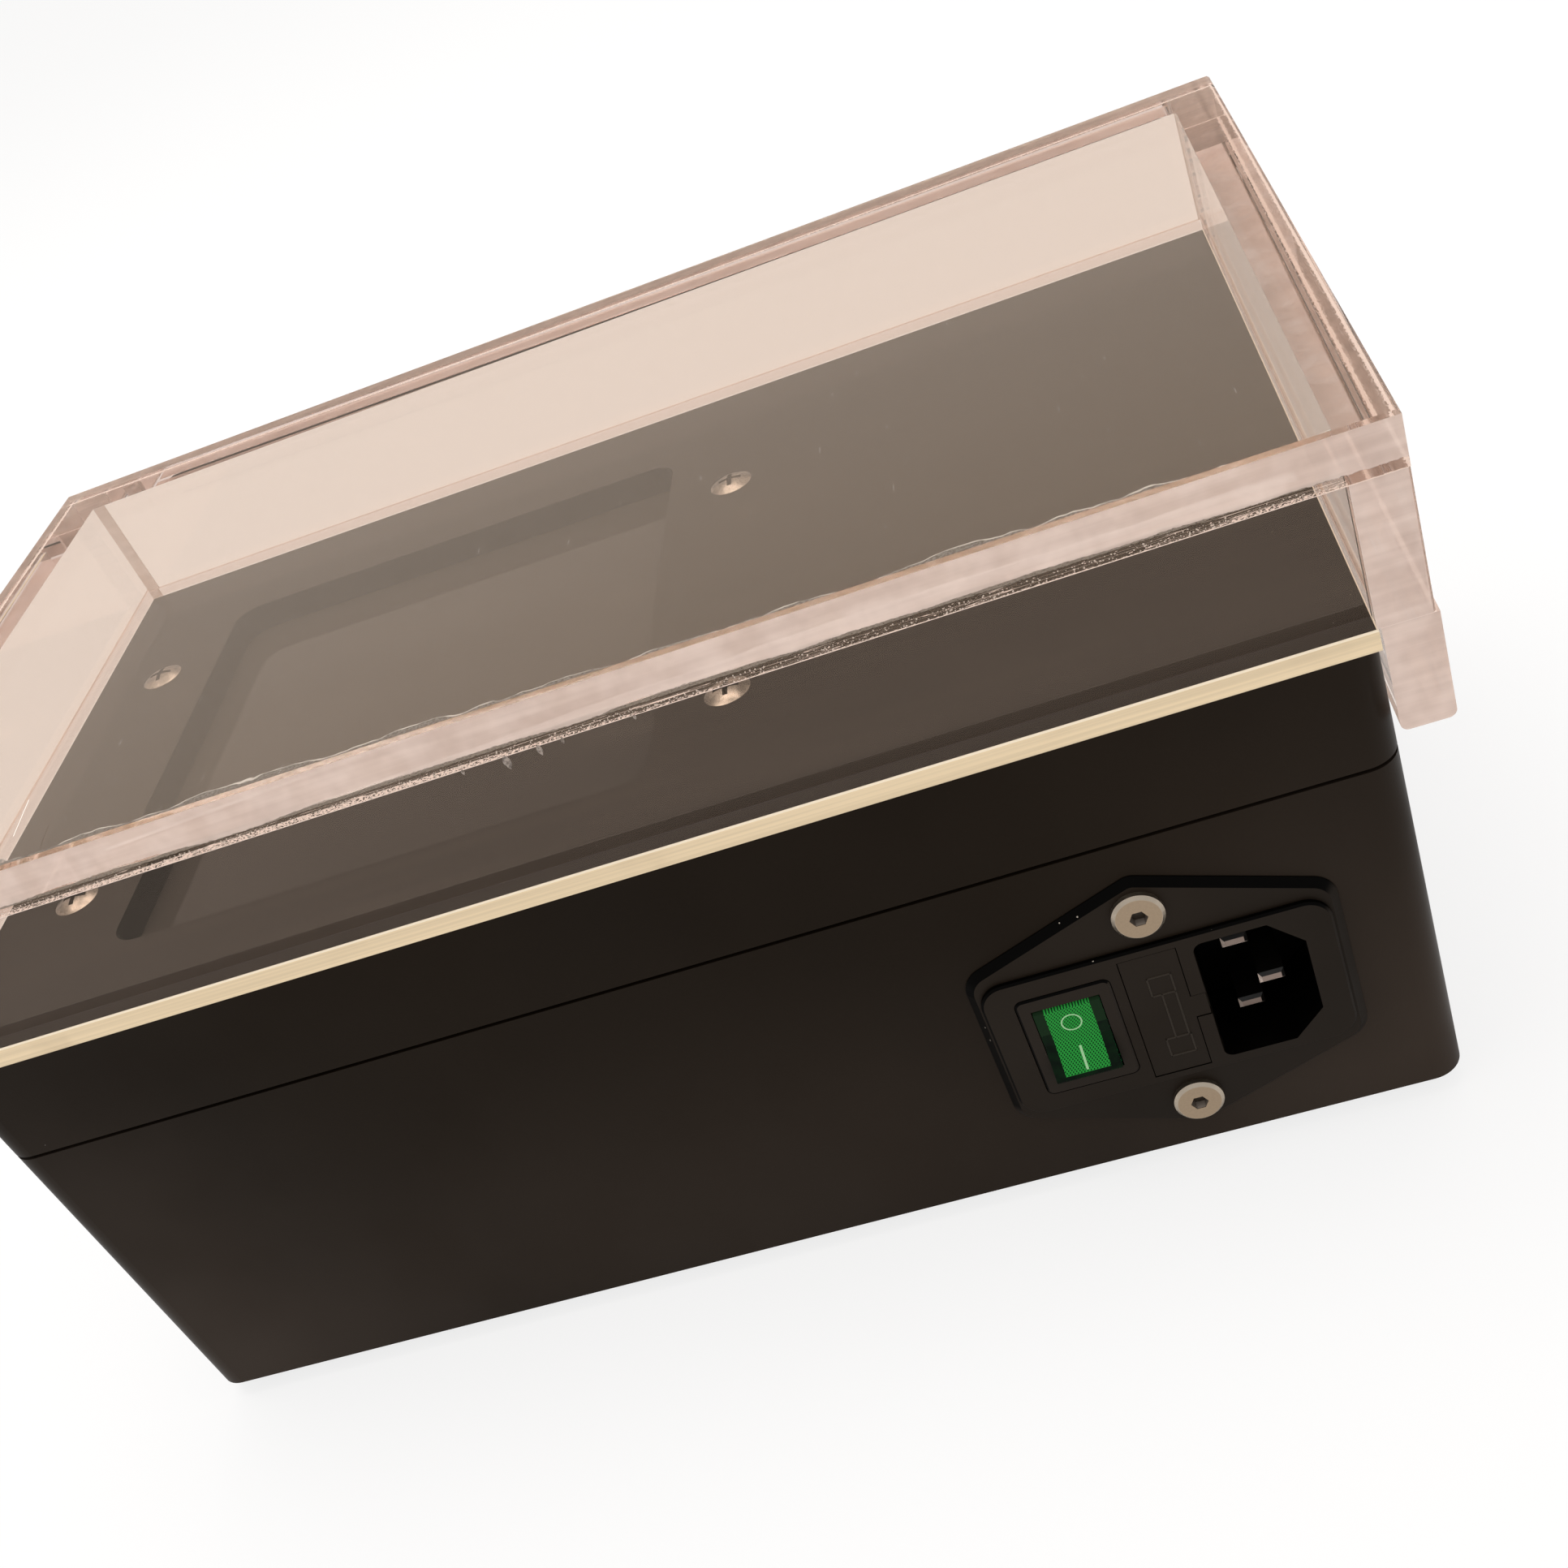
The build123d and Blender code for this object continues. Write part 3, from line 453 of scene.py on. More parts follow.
@dataclass(frozen=True)
class ButtonScrew(Finish):
    """Stainless button heads: a painted highlight on the edge of the head, and a hexagon socket in painted
    shade with a painted highlight on its upward facets.
    """

    disc: Colour = (0.36, 0.27, 0.185)
    # The rim colour is a painted highlight; the next colour is painted shade in the hexagon socket; the
    # floor colour is a painted highlight on upward facets in the socket.
    rim: Colour = (0.46, 0.39, 0.31)
    painted_recess_shade: Colour = (0.040, 0.028, 0.018)
    floor: Colour = (0.34, 0.29, 0.25)
    reach: float = 1.62

    def surface(self, graph: Graph) -> Socket:
        """Disc, rim and recess by distance from the head's centre."""
        middle, half = spans("inlet_screws")
        head = half.x
        x, depth, z = graph.axes((middle.x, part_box("inlet_screws")[1].y, middle.z))
        _, out, up = graph.facing()
        height = abs(z) - (half.z - head)
        radius = (x * x + height * height).math("SQRT")
        inside = (radius < self.reach) * (depth < -0.12)
        marks = graph.noise(0.35, detail=3.0)
        disc = graph.tones(marks.spread(), self.disc, 0.9)
        # painted highlight: a paler ring at the edge of the head
        base = graph.mix(radius.ramp(head - 0.62, head - 0.45), disc, self.rim)
        # painted shade in the hexagon socket, with a painted highlight on facets that face up
        painted_recess_shading = graph.mix(up.ramp(0.3, 0.8) * (1.0 - out.ramp(0.5, 0.9)), self.painted_recess_shade, self.floor)
        more = {"Metallic": 1.0 - inside, "Normal": graph.bump(marks, 0.01)}
        return graph.principled(graph.mix(inside, base, painted_recess_shading), marks.spread(0.30, 0.42), more)


@dataclass(frozen=True)
class Contact(Finish):
    """Plated contact: a painted highlight on facets at its end, and flanks in painted shade."""

    # painted highlight on facets at the end of the contact
    painted_tip_highlight: Colour = (0.78, 0.64, 0.56)
    face: Colour = (0.24, 0.18, 0.15)
    # painted shade on the flanks
    painted_flank: Colour = (0.004, 0.003, 0.002)

    def surface(self, graph: Graph) -> Socket:
        """The end face, a painted highlight on end facets and painted shade on the flanks, by their
        direction.
        """
        side, out, up = graph.facing()
        marks = graph.noise(0.4, detail=3.0)
        painted_tip_highlight = graph.tones(marks.spread(), self.painted_tip_highlight, 0.75)
        # painted highlight on end facets that face sideways and down
        painted_highlight_facets = out.ramp(0.5, 0.6) * (1.0 - out.ramp(0.85, 0.95)) * (side * 0.6 - up).ramp(-0.1, 0.3)
        # painted shade: the flanks near-black
        base = graph.mix(out.ramp(0.85, 0.95), self.painted_flank, self.face)
        more = {"Metallic": 0.3, "Normal": graph.bump(marks, 0.008)}
        return graph.principled(graph.mix(painted_highlight_facets, base, painted_tip_highlight), marks.spread(0.35, 0.5), more)


@dataclass(frozen=True)
class AnodisedPlate(Finish):
    """Black anodised plate, brushed along X, with a bare machined rim whose upward chamfer has a painted
    highlight, and window walls in painted shade.
    """

    face: Colour = (0.0315, 0.0262, 0.0220)
    bare: Colour = (0.86, 0.70, 0.48)
    # painted highlight on the upward chamfer of the bare rim
    line: Colour = (0.86, 0.80, 0.68)
    # painted shade on the window walls
    painted_recess_shade: Colour = (0.0015, 0.0012, 0.0010)
    streak: tuple[float, float, float] = (0.008, 1.0, 1.0)
    rim: float = 0.35

    def surface(self, graph: Graph) -> Socket:
        """Brushed face, window walls in painted shade, and bare rim with a painted highlight on its
        chamfer.
        """
        centre, half = spans("top_plate")
        x, y, _ = graph.axes(centre)
        _, _, up = graph.facing()
        rim = (abs(x) > half.x - self.rim).most(abs(y) > half.y - self.rim)
        flat = up > 0.9
        side = 1.0 - abs(up).ramp(0.3, 0.9)
        streak = graph.noise(0.5, self.streak, 1.0)
        broad = graph.noise(2.6, self.streak)
        smudge = graph.noise(30.0, detail=3.0)
        face = graph.tones((streak * 0.6 + broad * 0.4).spread(), self.face, 0.84, 1.18)
        face = graph.mix(smudge.ramp(0.5, 0.75) * 0.25, face, scaled(self.face, 1.5))
        # painted shade: the window walls nearly black
        face = graph.mix(side * (1.0 - rim), face, self.painted_recess_shade)
        rows = graph.noise(0.5, (0.006, 0.006, 1.0), 3.0)
        edge = graph.tones(rows.spread(), self.bare, 0.86)
        edge = graph.mix(graph.noise(14.0, detail=3.0).ramp(0.55, 0.8) * 0.35, edge, (0.5, 0.38, 0.25))
        # painted highlight: upward facets of the bare rim paler
        edge = graph.mix(up.ramp(0.5, 0.7) * 0.7, edge, self.line)
        bare = rim * (1.0 - flat)
        rough = streak.spread(0.34, 0.46) + smudge.ramp(0.45, 0.75, 0.0, 0.06)
        more = {
            "Metallic": bare * 0.1,
            "Specular IOR Level": 0.03,
            "Normal": graph.bump(rows * bare, 0.004),
        }
        return graph.principled(graph.mix(bare, face, edge), rough * (1.0 - bare) + bare * 0.42, more)


@dataclass(frozen=True)
class FilterGlass(Finish):
    """Near-black ultraviolet pass glass with light wipe marks."""

    colour: Colour = (0.040, 0.034, 0.029)
    haze_and_painted_floor_light: Colour = (0.072, 0.061, 0.051)

    def surface(self, graph: Graph) -> Socket:
        """Dark glass with wipe marks."""
        wipe = graph.noise(16.0, (0.4, 1.0, 1.0), 4.0)
        haze = wipe.ramp(0.5, 0.8)
        more = {"Specular IOR Level": 0.08, "Normal": graph.bump(graph.noise(8.0), 0.01, 0.4)}
        return graph.principled(graph.mix(haze * 0.4, self.colour, self.haze_and_painted_floor_light), haze * 0.10 + 0.05, more)


@dataclass(frozen=True)
class Rubber(Finish):
    """Dull black rubber, made darker still as painted shade where it lines the window."""

    # black of the rubber, lowered further as painted shade for the gasket in the window
    colour: Colour = (0.004, 0.0035, 0.003)

    def surface(self, graph: Graph) -> Socket:
        """Mottled rubber."""
        pores = graph.noise(0.45, detail=4.0)
        more = {"Specular IOR Level": 0.08, "Normal": graph.bump(pores, 0.03)}
        return graph.principled(graph.tones(pores, self.colour, 0.6, 1.6), pores.spread(0.7, 0.85), more)


@dataclass(frozen=True)
class RockerPlastic(Finish):
    """Clear green rocker over a light net, with a ring at the off end and a bar at the on end."""

    deep: Colour = (0.0, 0.004, 0.001)
    clear: Colour = (0.0006, 0.010, 0.002)
    dull: Colour = (0.005, 0.020, 0.006)
    # painted light: a lighter green on side faces towards -X
    painted_flank: Colour = (0.001, 0.060, 0.016)
    net: Colour = (0.020, 0.29, 0.042)
    hole: Colour = (0.0, 0.030, 0.006)
    sign: Colour = (0.34, 0.60, 0.33)
    band: float = 3.65
    band_top: float = 7.8
    band_foot: float = -5.6
    pitch_x: float = 0.52
    pitch_z: float = 0.72
    slant: float = 0.25
    ring_z: float = 3.9
    ring_radius: float = 1.55
    ring_line: float = 0.12
    bar_low: float = -5.2
    bar_high: float = -0.9
    bar_half: float = 0.2
    teeth_pitch: float = 0.47
    teeth_foot: float = 6.9
    dull_foot: float = 2.6

    def surface(self, graph: Graph) -> Socket:
        """Body, one side face lighter green as painted light, printed net and the two signs."""
        pivot = next(joint for joint in frame["joints"] if joint["name"] == "rocker_pivot")["pos_m"]
        x, _, z = graph.axes((spans("rocker")[0].x, 0.0, pivot[2]))
        side, out, _ = graph.facing()
        face = out > 0.6
        turn = 2 * math.pi
        leaned = x + z * self.slant
        row = (z * (turn / self.pitch_z)).math("COSINE")
        wave = (leaned * (turn / self.pitch_x)).math("COSINE") * row
        holes = (abs(wave) * (wave.math("SIGN") + 1.0) * 0.5).ramp(0.10, 0.40)
        teeth_zone = z > self.teeth_foot
        shake = graph.noise(0.6, (1.0, 1.0, 0.3)) * 2.4
        dashes = (x * (turn / self.teeth_pitch) + shake).math("COSINE").ramp(-0.1, 0.4)
        holes = holes * (1.0 - teeth_zone) + dashes * teeth_zone
        band = (abs(x) < self.band) * (z > self.band_foot) * (z < self.band_top) * face
        rise = z - self.ring_z
        radius = (x * x + rise * rise).math("SQRT")
        ring = abs(radius - self.ring_radius) < self.ring_line
        bar = (abs(x) < self.bar_half) * (z > self.bar_low) * (z < self.bar_high)
        sign = ring.most(bar) * band
        body = graph.mix(graph.noise(2.5).ramp(0.4, 0.65), self.deep, self.clear)
        body = graph.mix((z > self.dull_foot) * face, body, self.dull)
        # painted light: side faces towards -X lighter green
        body = graph.mix((side < -0.5) * (1.0 - face), body, self.painted_flank)
        printed = graph.mix(holes, self.net, self.hole)
        base = graph.mix(band, body, printed)
        base = graph.mix(sign, base, self.sign)
        more = {"Specular IOR Level": 0.06, "Normal": graph.bump((1.0 - holes) * band, 0.02, 0.6)}
        return graph.principled(base, band * 0.22 + 0.14, more)


@dataclass(frozen=True)
class Acrylic:
    """Clear cast acrylic, sawn and scraped on its narrow faces, and cemented to its neighbours."""

    tint: Colour = (0.885, 0.805, 0.750)
    # warm specular tints, a painted reflection of warm surroundings
    painted_reflection_tint: Colour = (0.95, 0.76, 0.58)
    painted_inner_reflection_tint: Colour = (0.93, 0.82, 0.70)
    bare_share: float = 0.75
    depth_tint: Colour = (0.80, 0.62, 0.55)
    density: float = 4.0
    index: float = 1.49
    haze: Colour = (0.95, 0.68, 0.42)
    haze_share: float = 0.032
    veil: Colour = (0.82, 0.67, 0.60)
    veil_dark: Colour = (0.68, 0.54, 0.48)
    cement: Colour = (0.74, 0.62, 0.57)
    film_grey: Colour = (0.14, 0.13, 0.115)
    film_line: Colour = (0.62, 0.58, 0.53)
    mark: Colour = (0.90, 0.84, 0.78)
    wet: float = 1.8
    touch: float = 0.03
    scratch: tuple[float, float] = (42.4, 13.1)
    shade: Colour = (0.95, 0.93, 0.91)

    def joined(self, graph: Graph, neighbours: Sequence[str]) -> Value:
        """One where the surface touches one of the neighbouring sheets."""
        axes = graph.axes()
        masks = []
        for node in neighbours:
            middle, half = spans(node)
            near = [abs(axis - m * TO_MM) < h + self.touch for axis, m, h in zip(axes, middle, half)]
            masks.append(near[0] * near[1] * near[2])
        return reduce(Value.most, masks)

    def border(self, graph: Graph) -> Value:
        """Distance in millimetres from the outline of the top sheet."""
        middle, half = spans("cover_top")
        x, y, _ = graph.axes(middle)
        return (half.y - abs(y)).least(half.x - abs(x))

    def crust(self, graph: Graph, sheet: str) -> Value:
        """Where the bond over a sheet is not wetted: a line at its border, crumbs, long lenses and bubbles.

        The rear wall's bond is the busiest, and the only one with lenses, bubbles and a dry inner rim.
        """
        border = self.border(graph)
        along, _, _ = graph.axes()
        busy: Number = 0.12
        if sheet == "cover_rear_wall":
            busy = along.ramp(-45.0, 5.0, 0.3, 1.0).most((-1.0 * along).ramp(85.0, 105.0, 0.0, 0.8))
        patch = graph.noise(24.0, detail=1.0).spread(0.6, 1.0) * busy
        reach = patch.ramp(0.1, 1.0, 0.5, 2.7)
        zone = 1.0 - (border - reach).ramp(-0.35, 0.35)
        grain = graph.noise(0.26, (0.8, 0.5, 1.0), 3.0)
        crumbs = grain > patch.ramp(0.2, 0.9, 0.56, 0.455)
        dry = (zone * crumbs).most(border < graph.noise(0.5) * 0.55)
        if sheet != "cover_rear_wall":
            return dry
        lens = graph.noise(1.3, (0.06, 1.1, 1.0), 1.0)
        outline = (abs(lens - 0.52) < 0.012) * (border < 4.2)
        bubble = graph.specks(0.62, 0.17) * (border < 4.6)
        rim = (border > 4.1 + graph.noise(0.9) * 0.9) * graph.noise(0.4).ramp(0.3, 0.55, 0.55, 1.0)
        return dry.most(bubble).most(outline).most(rim)

    def film(self, graph: Graph, sheet: str) -> tuple[Value, Value]:
        """Cement squeezed out under the top sheet: its flecked film, and the pale line where it ends."""
        border = self.border(graph)
        thick = 2 * spans("cover_rear_wall")[1].y
        _, _, height = graph.axes((0.0, 0.0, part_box(sheet)[0].z))
        under = (abs(graph.facing()[2]) > 0.5) * (abs(height) < ON_FACE)
        reach = graph.noise(14.0, detail=3.0).spread(-0.6, 1.9)
        beyond = border - (reach + thick)
        fleck = graph.noise(0.45).ramp(0.35, 0.6, 0.35, 0.9)
        inner = (border > thick - 1.6) * (1.0 - beyond.ramp(-0.12, 0.12))
        edge = (1.0 - abs(beyond).ramp(0.05, 0.22)) * graph.noise(5.0).ramp(0.4, 0.6, 0.25, 0.8)
        return inner * fleck * under, edge * under

    def milky(self, graph: Graph) -> Socket:
        """The sawn and scraped skin of the narrow faces."""
        streaks = graph.noise(1.3, (0.03, 0.03, 1.0))
        cloud = graph.noise(7.0)
        tone = (streaks * 0.5 + cloud * 0.5).ramp(0.35, 0.65)
        more = {"Specular IOR Level": 0.3}
        return graph.principled(graph.mix(tone, self.veil_dark, self.veil), 0.35, more)

    def scraped(self, graph: Graph, sheet: str) -> Value:
        """How milky the narrow faces are, from 0 to 1.

        Cement has wetted the foot of the top sheet's edge clear.
        """
        low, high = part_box(sheet)
        thin = min(range(3), key=lambda i: high[i] - low[i])
        edge = 1.0 - abs(graph.facing()[thin]).ramp(0.2, 0.6)
        share = edge * graph.noise(5.0).spread(0.66, 0.86)
        if sheet != "cover_top":
            return share
        _, _, height = graph.axes((0.0, 0.0, low.z))
        wander = graph.noise(22.0, detail=1.0).spread(-0.35, 0.35)
        wet = wander + graph.noise(0.8) * 0.4 + self.wet - 0.2
        return share * (height - wet).ramp(-0.08, 0.08)

    def scratches(self, graph: Graph, sheet: str) -> Value:
        """Hairlines on a broad face: one distinct scratch and some faint ones."""
        _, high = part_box(sheet)
        inset_x, inset_y = self.scratch
        x, y, height = graph.axes((high.x - inset_x * MM, high.y - inset_y * MM, high.z))
        top = abs(height) < ON_FACE
        deep = (abs(x + y * 0.12) < 0.06) * (abs(y) < 5.0)
        faint = graph.noise(0.5, (1.0, 0.08, 1.0), 1.0) > 0.775
        return deep.most(faint * 0.12) * top

    def clear(self, graph: Graph) -> Socket:
        """Polished acrylic. A part of each outer face bends light without mirroring it."""
        more = {"IOR": self.index, "Transmission Weight": 1.0}
        # reflections tinted warm as a painted reflection of warm surroundings
        glossy = graph.principled(self.tint, 0.0, {**more, "Specular Tint": self.painted_reflection_tint})
        inner = graph.principled(self.tint, 0.0, {**more, "Specular Tint": self.painted_inner_reflection_tint})
        once = tuple(math.sqrt(part) for part in self.tint)
        values = {"Color": once, "Roughness": 0.0, "IOR": self.index}
        quiet = graph.shader("BsdfRefraction", values)
        outside = graph.mix_shader(self.bare_share, glossy, quiet)
        inside = graph.node("ShaderNodeNewGeometry").outputs["Backfacing"]
        return graph.mix_shader(inside, outside, inner)

    def marked(self, graph: Graph, sheet: str, surface: Socket) -> Socket:
        """Lays the scratches and the squeezed-out film over the top sheet's shader."""
        film, line = self.film(graph, sheet)
        layers = (
            (self.scratches(graph, sheet), self.mark, 0.4),
            (film, self.film_grey, 0.5),
            (line, self.film_line, 0.4),
        )
        for share, colour, roughness in layers:
            layer = graph.principled(colour, roughness)
            surface = graph.mix_shader(share, surface, layer)
        return surface

    def make(self, sheet: str, neighbours: Sequence[str], stands: bool) -> Material:
        """Builds the material of one sheet.

        Args:
            sheet: name of the node.
            neighbours: the other cover nodes that it touches.
            stands: whether its foot rests on the plate.

        Returns:
            The material.
        """
        graph = Graph(sheet + "_acrylic")
        passing = graph.shader("BsdfTransparent")
        surface, bond = self.clear(graph), passing
        if sheet == "cover_top":
            hazy = graph.principled(self.haze, 0.6)
            surface = graph.mix_shader(self.haze_share, surface, hazy)
        surface = graph.mix_shader(self.scraped(graph, sheet), surface, self.milky(graph))
        if sheet == "cover_top":
            surface = self.marked(graph, sheet, surface)
        else:
            crumb = graph.mix(self.border(graph).ramp(3.4, 4.2), self.cement, self.film_grey)
            solid = graph.principled(crumb, 0.4)
            bond = graph.mix_shader(self.crust(graph, sheet), passing, solid)
        surface = graph.mix_shader(self.joined(graph, neighbours), surface, bond)
        if stands:
            _, _, height = graph.axes((0.0, 0.0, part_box(sheet)[0].z))
            foot = (abs(graph.facing()[2]) > 0.9) * (abs(height) < ON_FACE)
            surface = graph.mix_shader(foot, surface, passing)
        lit = graph.ray("Is Shadow Ray", "Is Diffuse Ray")
        thin = graph.shader("BsdfTransparent", {"Color": self.shade})
        surface = graph.mix_shader(lit, surface, thin)
        volume = graph.shader("VolumeAbsorption", {"Color": self.depth_tint, "Density": self.density})
        return graph.finish(surface, volume)


@dataclass(frozen=True)
class Cement(Finish):
    """Whitish hardened cement and dust."""

    colour: Colour = (0.72, 0.66, 0.61)

    def surface(self, graph: Graph) -> Socket:
        """Uneven cement."""
        tone = graph.noise(0.6, detail=3.0)
        more = {"Normal": graph.bump(tone, 0.03)}
        return graph.principled(graph.tones(tone, self.colour, 0.7), tone.spread(0.25, 0.5), more)


@dataclass(frozen=True)
class ClearDrip(Finish):
    """Clear hardened cement that has run out of a joint."""

    tint: Colour = (0.80, 0.74, 0.68)
    skin: Colour = (0.45, 0.38, 0.33)

    def surface(self, graph: Graph) -> Socket:
        """A clear drip under a thin skin."""
        ripple = graph.noise(0.5)
        more = {"IOR": 1.45, "Transmission Weight": 1.0, "Normal": graph.bump(ripple, 0.05)}
        clear = graph.principled(self.tint, 0.08, more)
        skin = graph.principled(self.skin, 0.3)
        return graph.mix_shader(ripple.ramp(0.4, 0.65, 0.2, 0.75), clear, skin)


def wear(node: str, material: Material) -> None:
    """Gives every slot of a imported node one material."""
    shown = frame["nodes"][node]
    if not shown.material_slots:
        shown.data.materials.append(material)
    for slot in shown.material_slots:
        slot.material = material
    LOG.info("%s wears %s", node, material.name)


def settle(piece: Piece, body: Body) -> None:
    """Names the body that a new piece moves with."""
    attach(piece, body.value)
    LOG.info("%s rides on %s", piece.name, body.value)


def placed(name: str, data: bpy.types.ID) -> Piece:
    """Links a mesh, light or camera to the scene as an object at the origin."""
    piece = bpy.data.objects.new(name, data)
    bpy.context.scene.collection.objects.link(piece)
    return piece


def formed(name: str, form: bmesh.types.BMesh, finish: Material, smooth: bool = False) -> Piece:
    """Turns a form into a piece with one finish, and frees the form."""
    bmesh.ops.recalc_face_normals(form, faces=form.faces)
    mesh = bpy.data.meshes.new(name)
    form.to_mesh(mesh)
    form.free()
    mesh.materials.append(finish)
    for face in mesh.polygons:
        face.use_smooth = smooth
    return placed(name, mesh)


def skin(form: bmesh.types.BMesh, rings: Sequence[list[bmesh.types.BMVert]]) -> None:
    """Joins a stack of rings of corners by walls, and closes both of its ends."""
    for one, other in zip(rings, rings[1:]):
        for corners in zip(one, other, other[1:] + other[:1], one[1:] + one[:1]):
            form.faces.new(corners)
    form.faces.new(rings[0])
    form.faces.new(rings[-1][::-1])


@dataclass(frozen=True)
class Scatter:
    """Small round grains strewn over a patch by a Geometry Nodes tree."""

    per_square_mm: float
    radius: float
    seed: int
    flat: float = 0.6
    least: float = 0.35

    def tree(self, name: str) -> tuple[bpy.types.NodeTree, dict[str, str]]:
        """Builds the node tree, and gives the identifier of each of its named inputs."""
        group = bpy.data.node_groups.new(name, "GeometryNodeTree")
        kinds = {
            "Patch": "Geometry",
            "Density": "Float",
            "Radius": "Float",
            "Flatness": "Float",
            "Seed": "Int",
            "Finish": "Material",
        }
        inputs = {}
        for label, kind in kinds.items():
            kind = "NodeSocket" + kind
            inputs[label] = group.interface.new_socket(label, in_out="INPUT", socket_type=kind).identifier
        group.interface.new_socket("Grains", in_out="OUTPUT", socket_type="NodeSocketGeometry")
        nodes = Nodes(group)
        given = nodes.node("NodeGroupInput").outputs
        values = {"Mesh": given["Patch"], "Density": given["Density"], "Seed": given["Seed"]}
        points = nodes.node("GeometryNodeDistributePointsOnFaces", None, values).outputs
        values = {"Radius": given["Radius"], "Subdivisions": 1}
        ball = nodes.node("GeometryNodeMeshIcoSphere", None, values).outputs["Mesh"]
        values = {0: 1.0, 1: 1.0, 2: given["Flatness"]}
        squat = nodes.node("ShaderNodeCombineXYZ", None, values).outputs[0]
        grain = nodes.node("GeometryNodeTransform", None, {"Geometry": ball, "Scale": squat}).outputs[0]
        values = {2: self.least, 3: 1.0, "Seed": given["Seed"]}
        size = nodes.node("FunctionNodeRandomValue", {"data_type": "FLOAT"}, values).outputs[1]
        values = {key: points[key] for key in ("Points", "Rotation")}
        values.update({"Instance": grain, "Scale": size})
        spread = nodes.node("GeometryNodeInstanceOnPoints", None, values).outputs[0]
        real = nodes.node("GeometryNodeRealizeInstances", None, {0: spread}).outputs[0]
        values = {"Geometry": real, "Material": given["Finish"]}
        dressed = nodes.node("GeometryNodeSetMaterial", None, values).outputs[0]
        nodes.node("NodeGroupOutput", None, {0: dressed})
        return group, inputs

    def strew(self, name: str, faces: Sequence[Face], finish: Material) -> Piece:
        """Strews the grains and turns them into a plain mesh.

        Args:
            name: name of the piece.
            faces: corners in metres of each four-sided face that the grains lie on.
            finish: their material.

        Returns:
            The piece.
        """
        group, inputs = self.tree(name + "_tree")
        bed = placed(name + "_bed", patches(name + "_patch", faces))
        modifier = bed.modifiers.new("grains", "NODES")
        modifier.node_group = group
        values = {
            "Density": self.per_square_mm * TO_MM * TO_MM,
            "Radius": self.radius * MM,
            "Flatness": self.flat,
            "Seed": self.seed,
            "Finish": finish,
        }
        for label, value in values.items():
            modifier[inputs[label]] = value
        graph = bpy.context.evaluated_depsgraph_get()
        mesh = bpy.data.meshes.new_from_object(bed.evaluated_get(graph))
        mesh.name = name
        bpy.data.objects.remove(bed)
        return placed(name, mesh)


def patches(name: str, faces: Sequence[Face]) -> bpy.types.Mesh:
    """A mesh of separate four-sided faces, each given by its corners in metres."""
    mesh = bpy.data.meshes.new(name)
    points = [corner for face in faces for corner in face]
    mesh.from_pydata(points, [], [tuple(range(start, start + 4)) for start in range(0, len(points), 4)])
    return mesh


def level(x0: float, y0: float, x1: float, y1: float, z: float) -> Face:
    """Corners of a level rectangle that faces up."""
    return (x0, y0, z), (x1, y0, z), (x1, y1, z), (x0, y1, z)


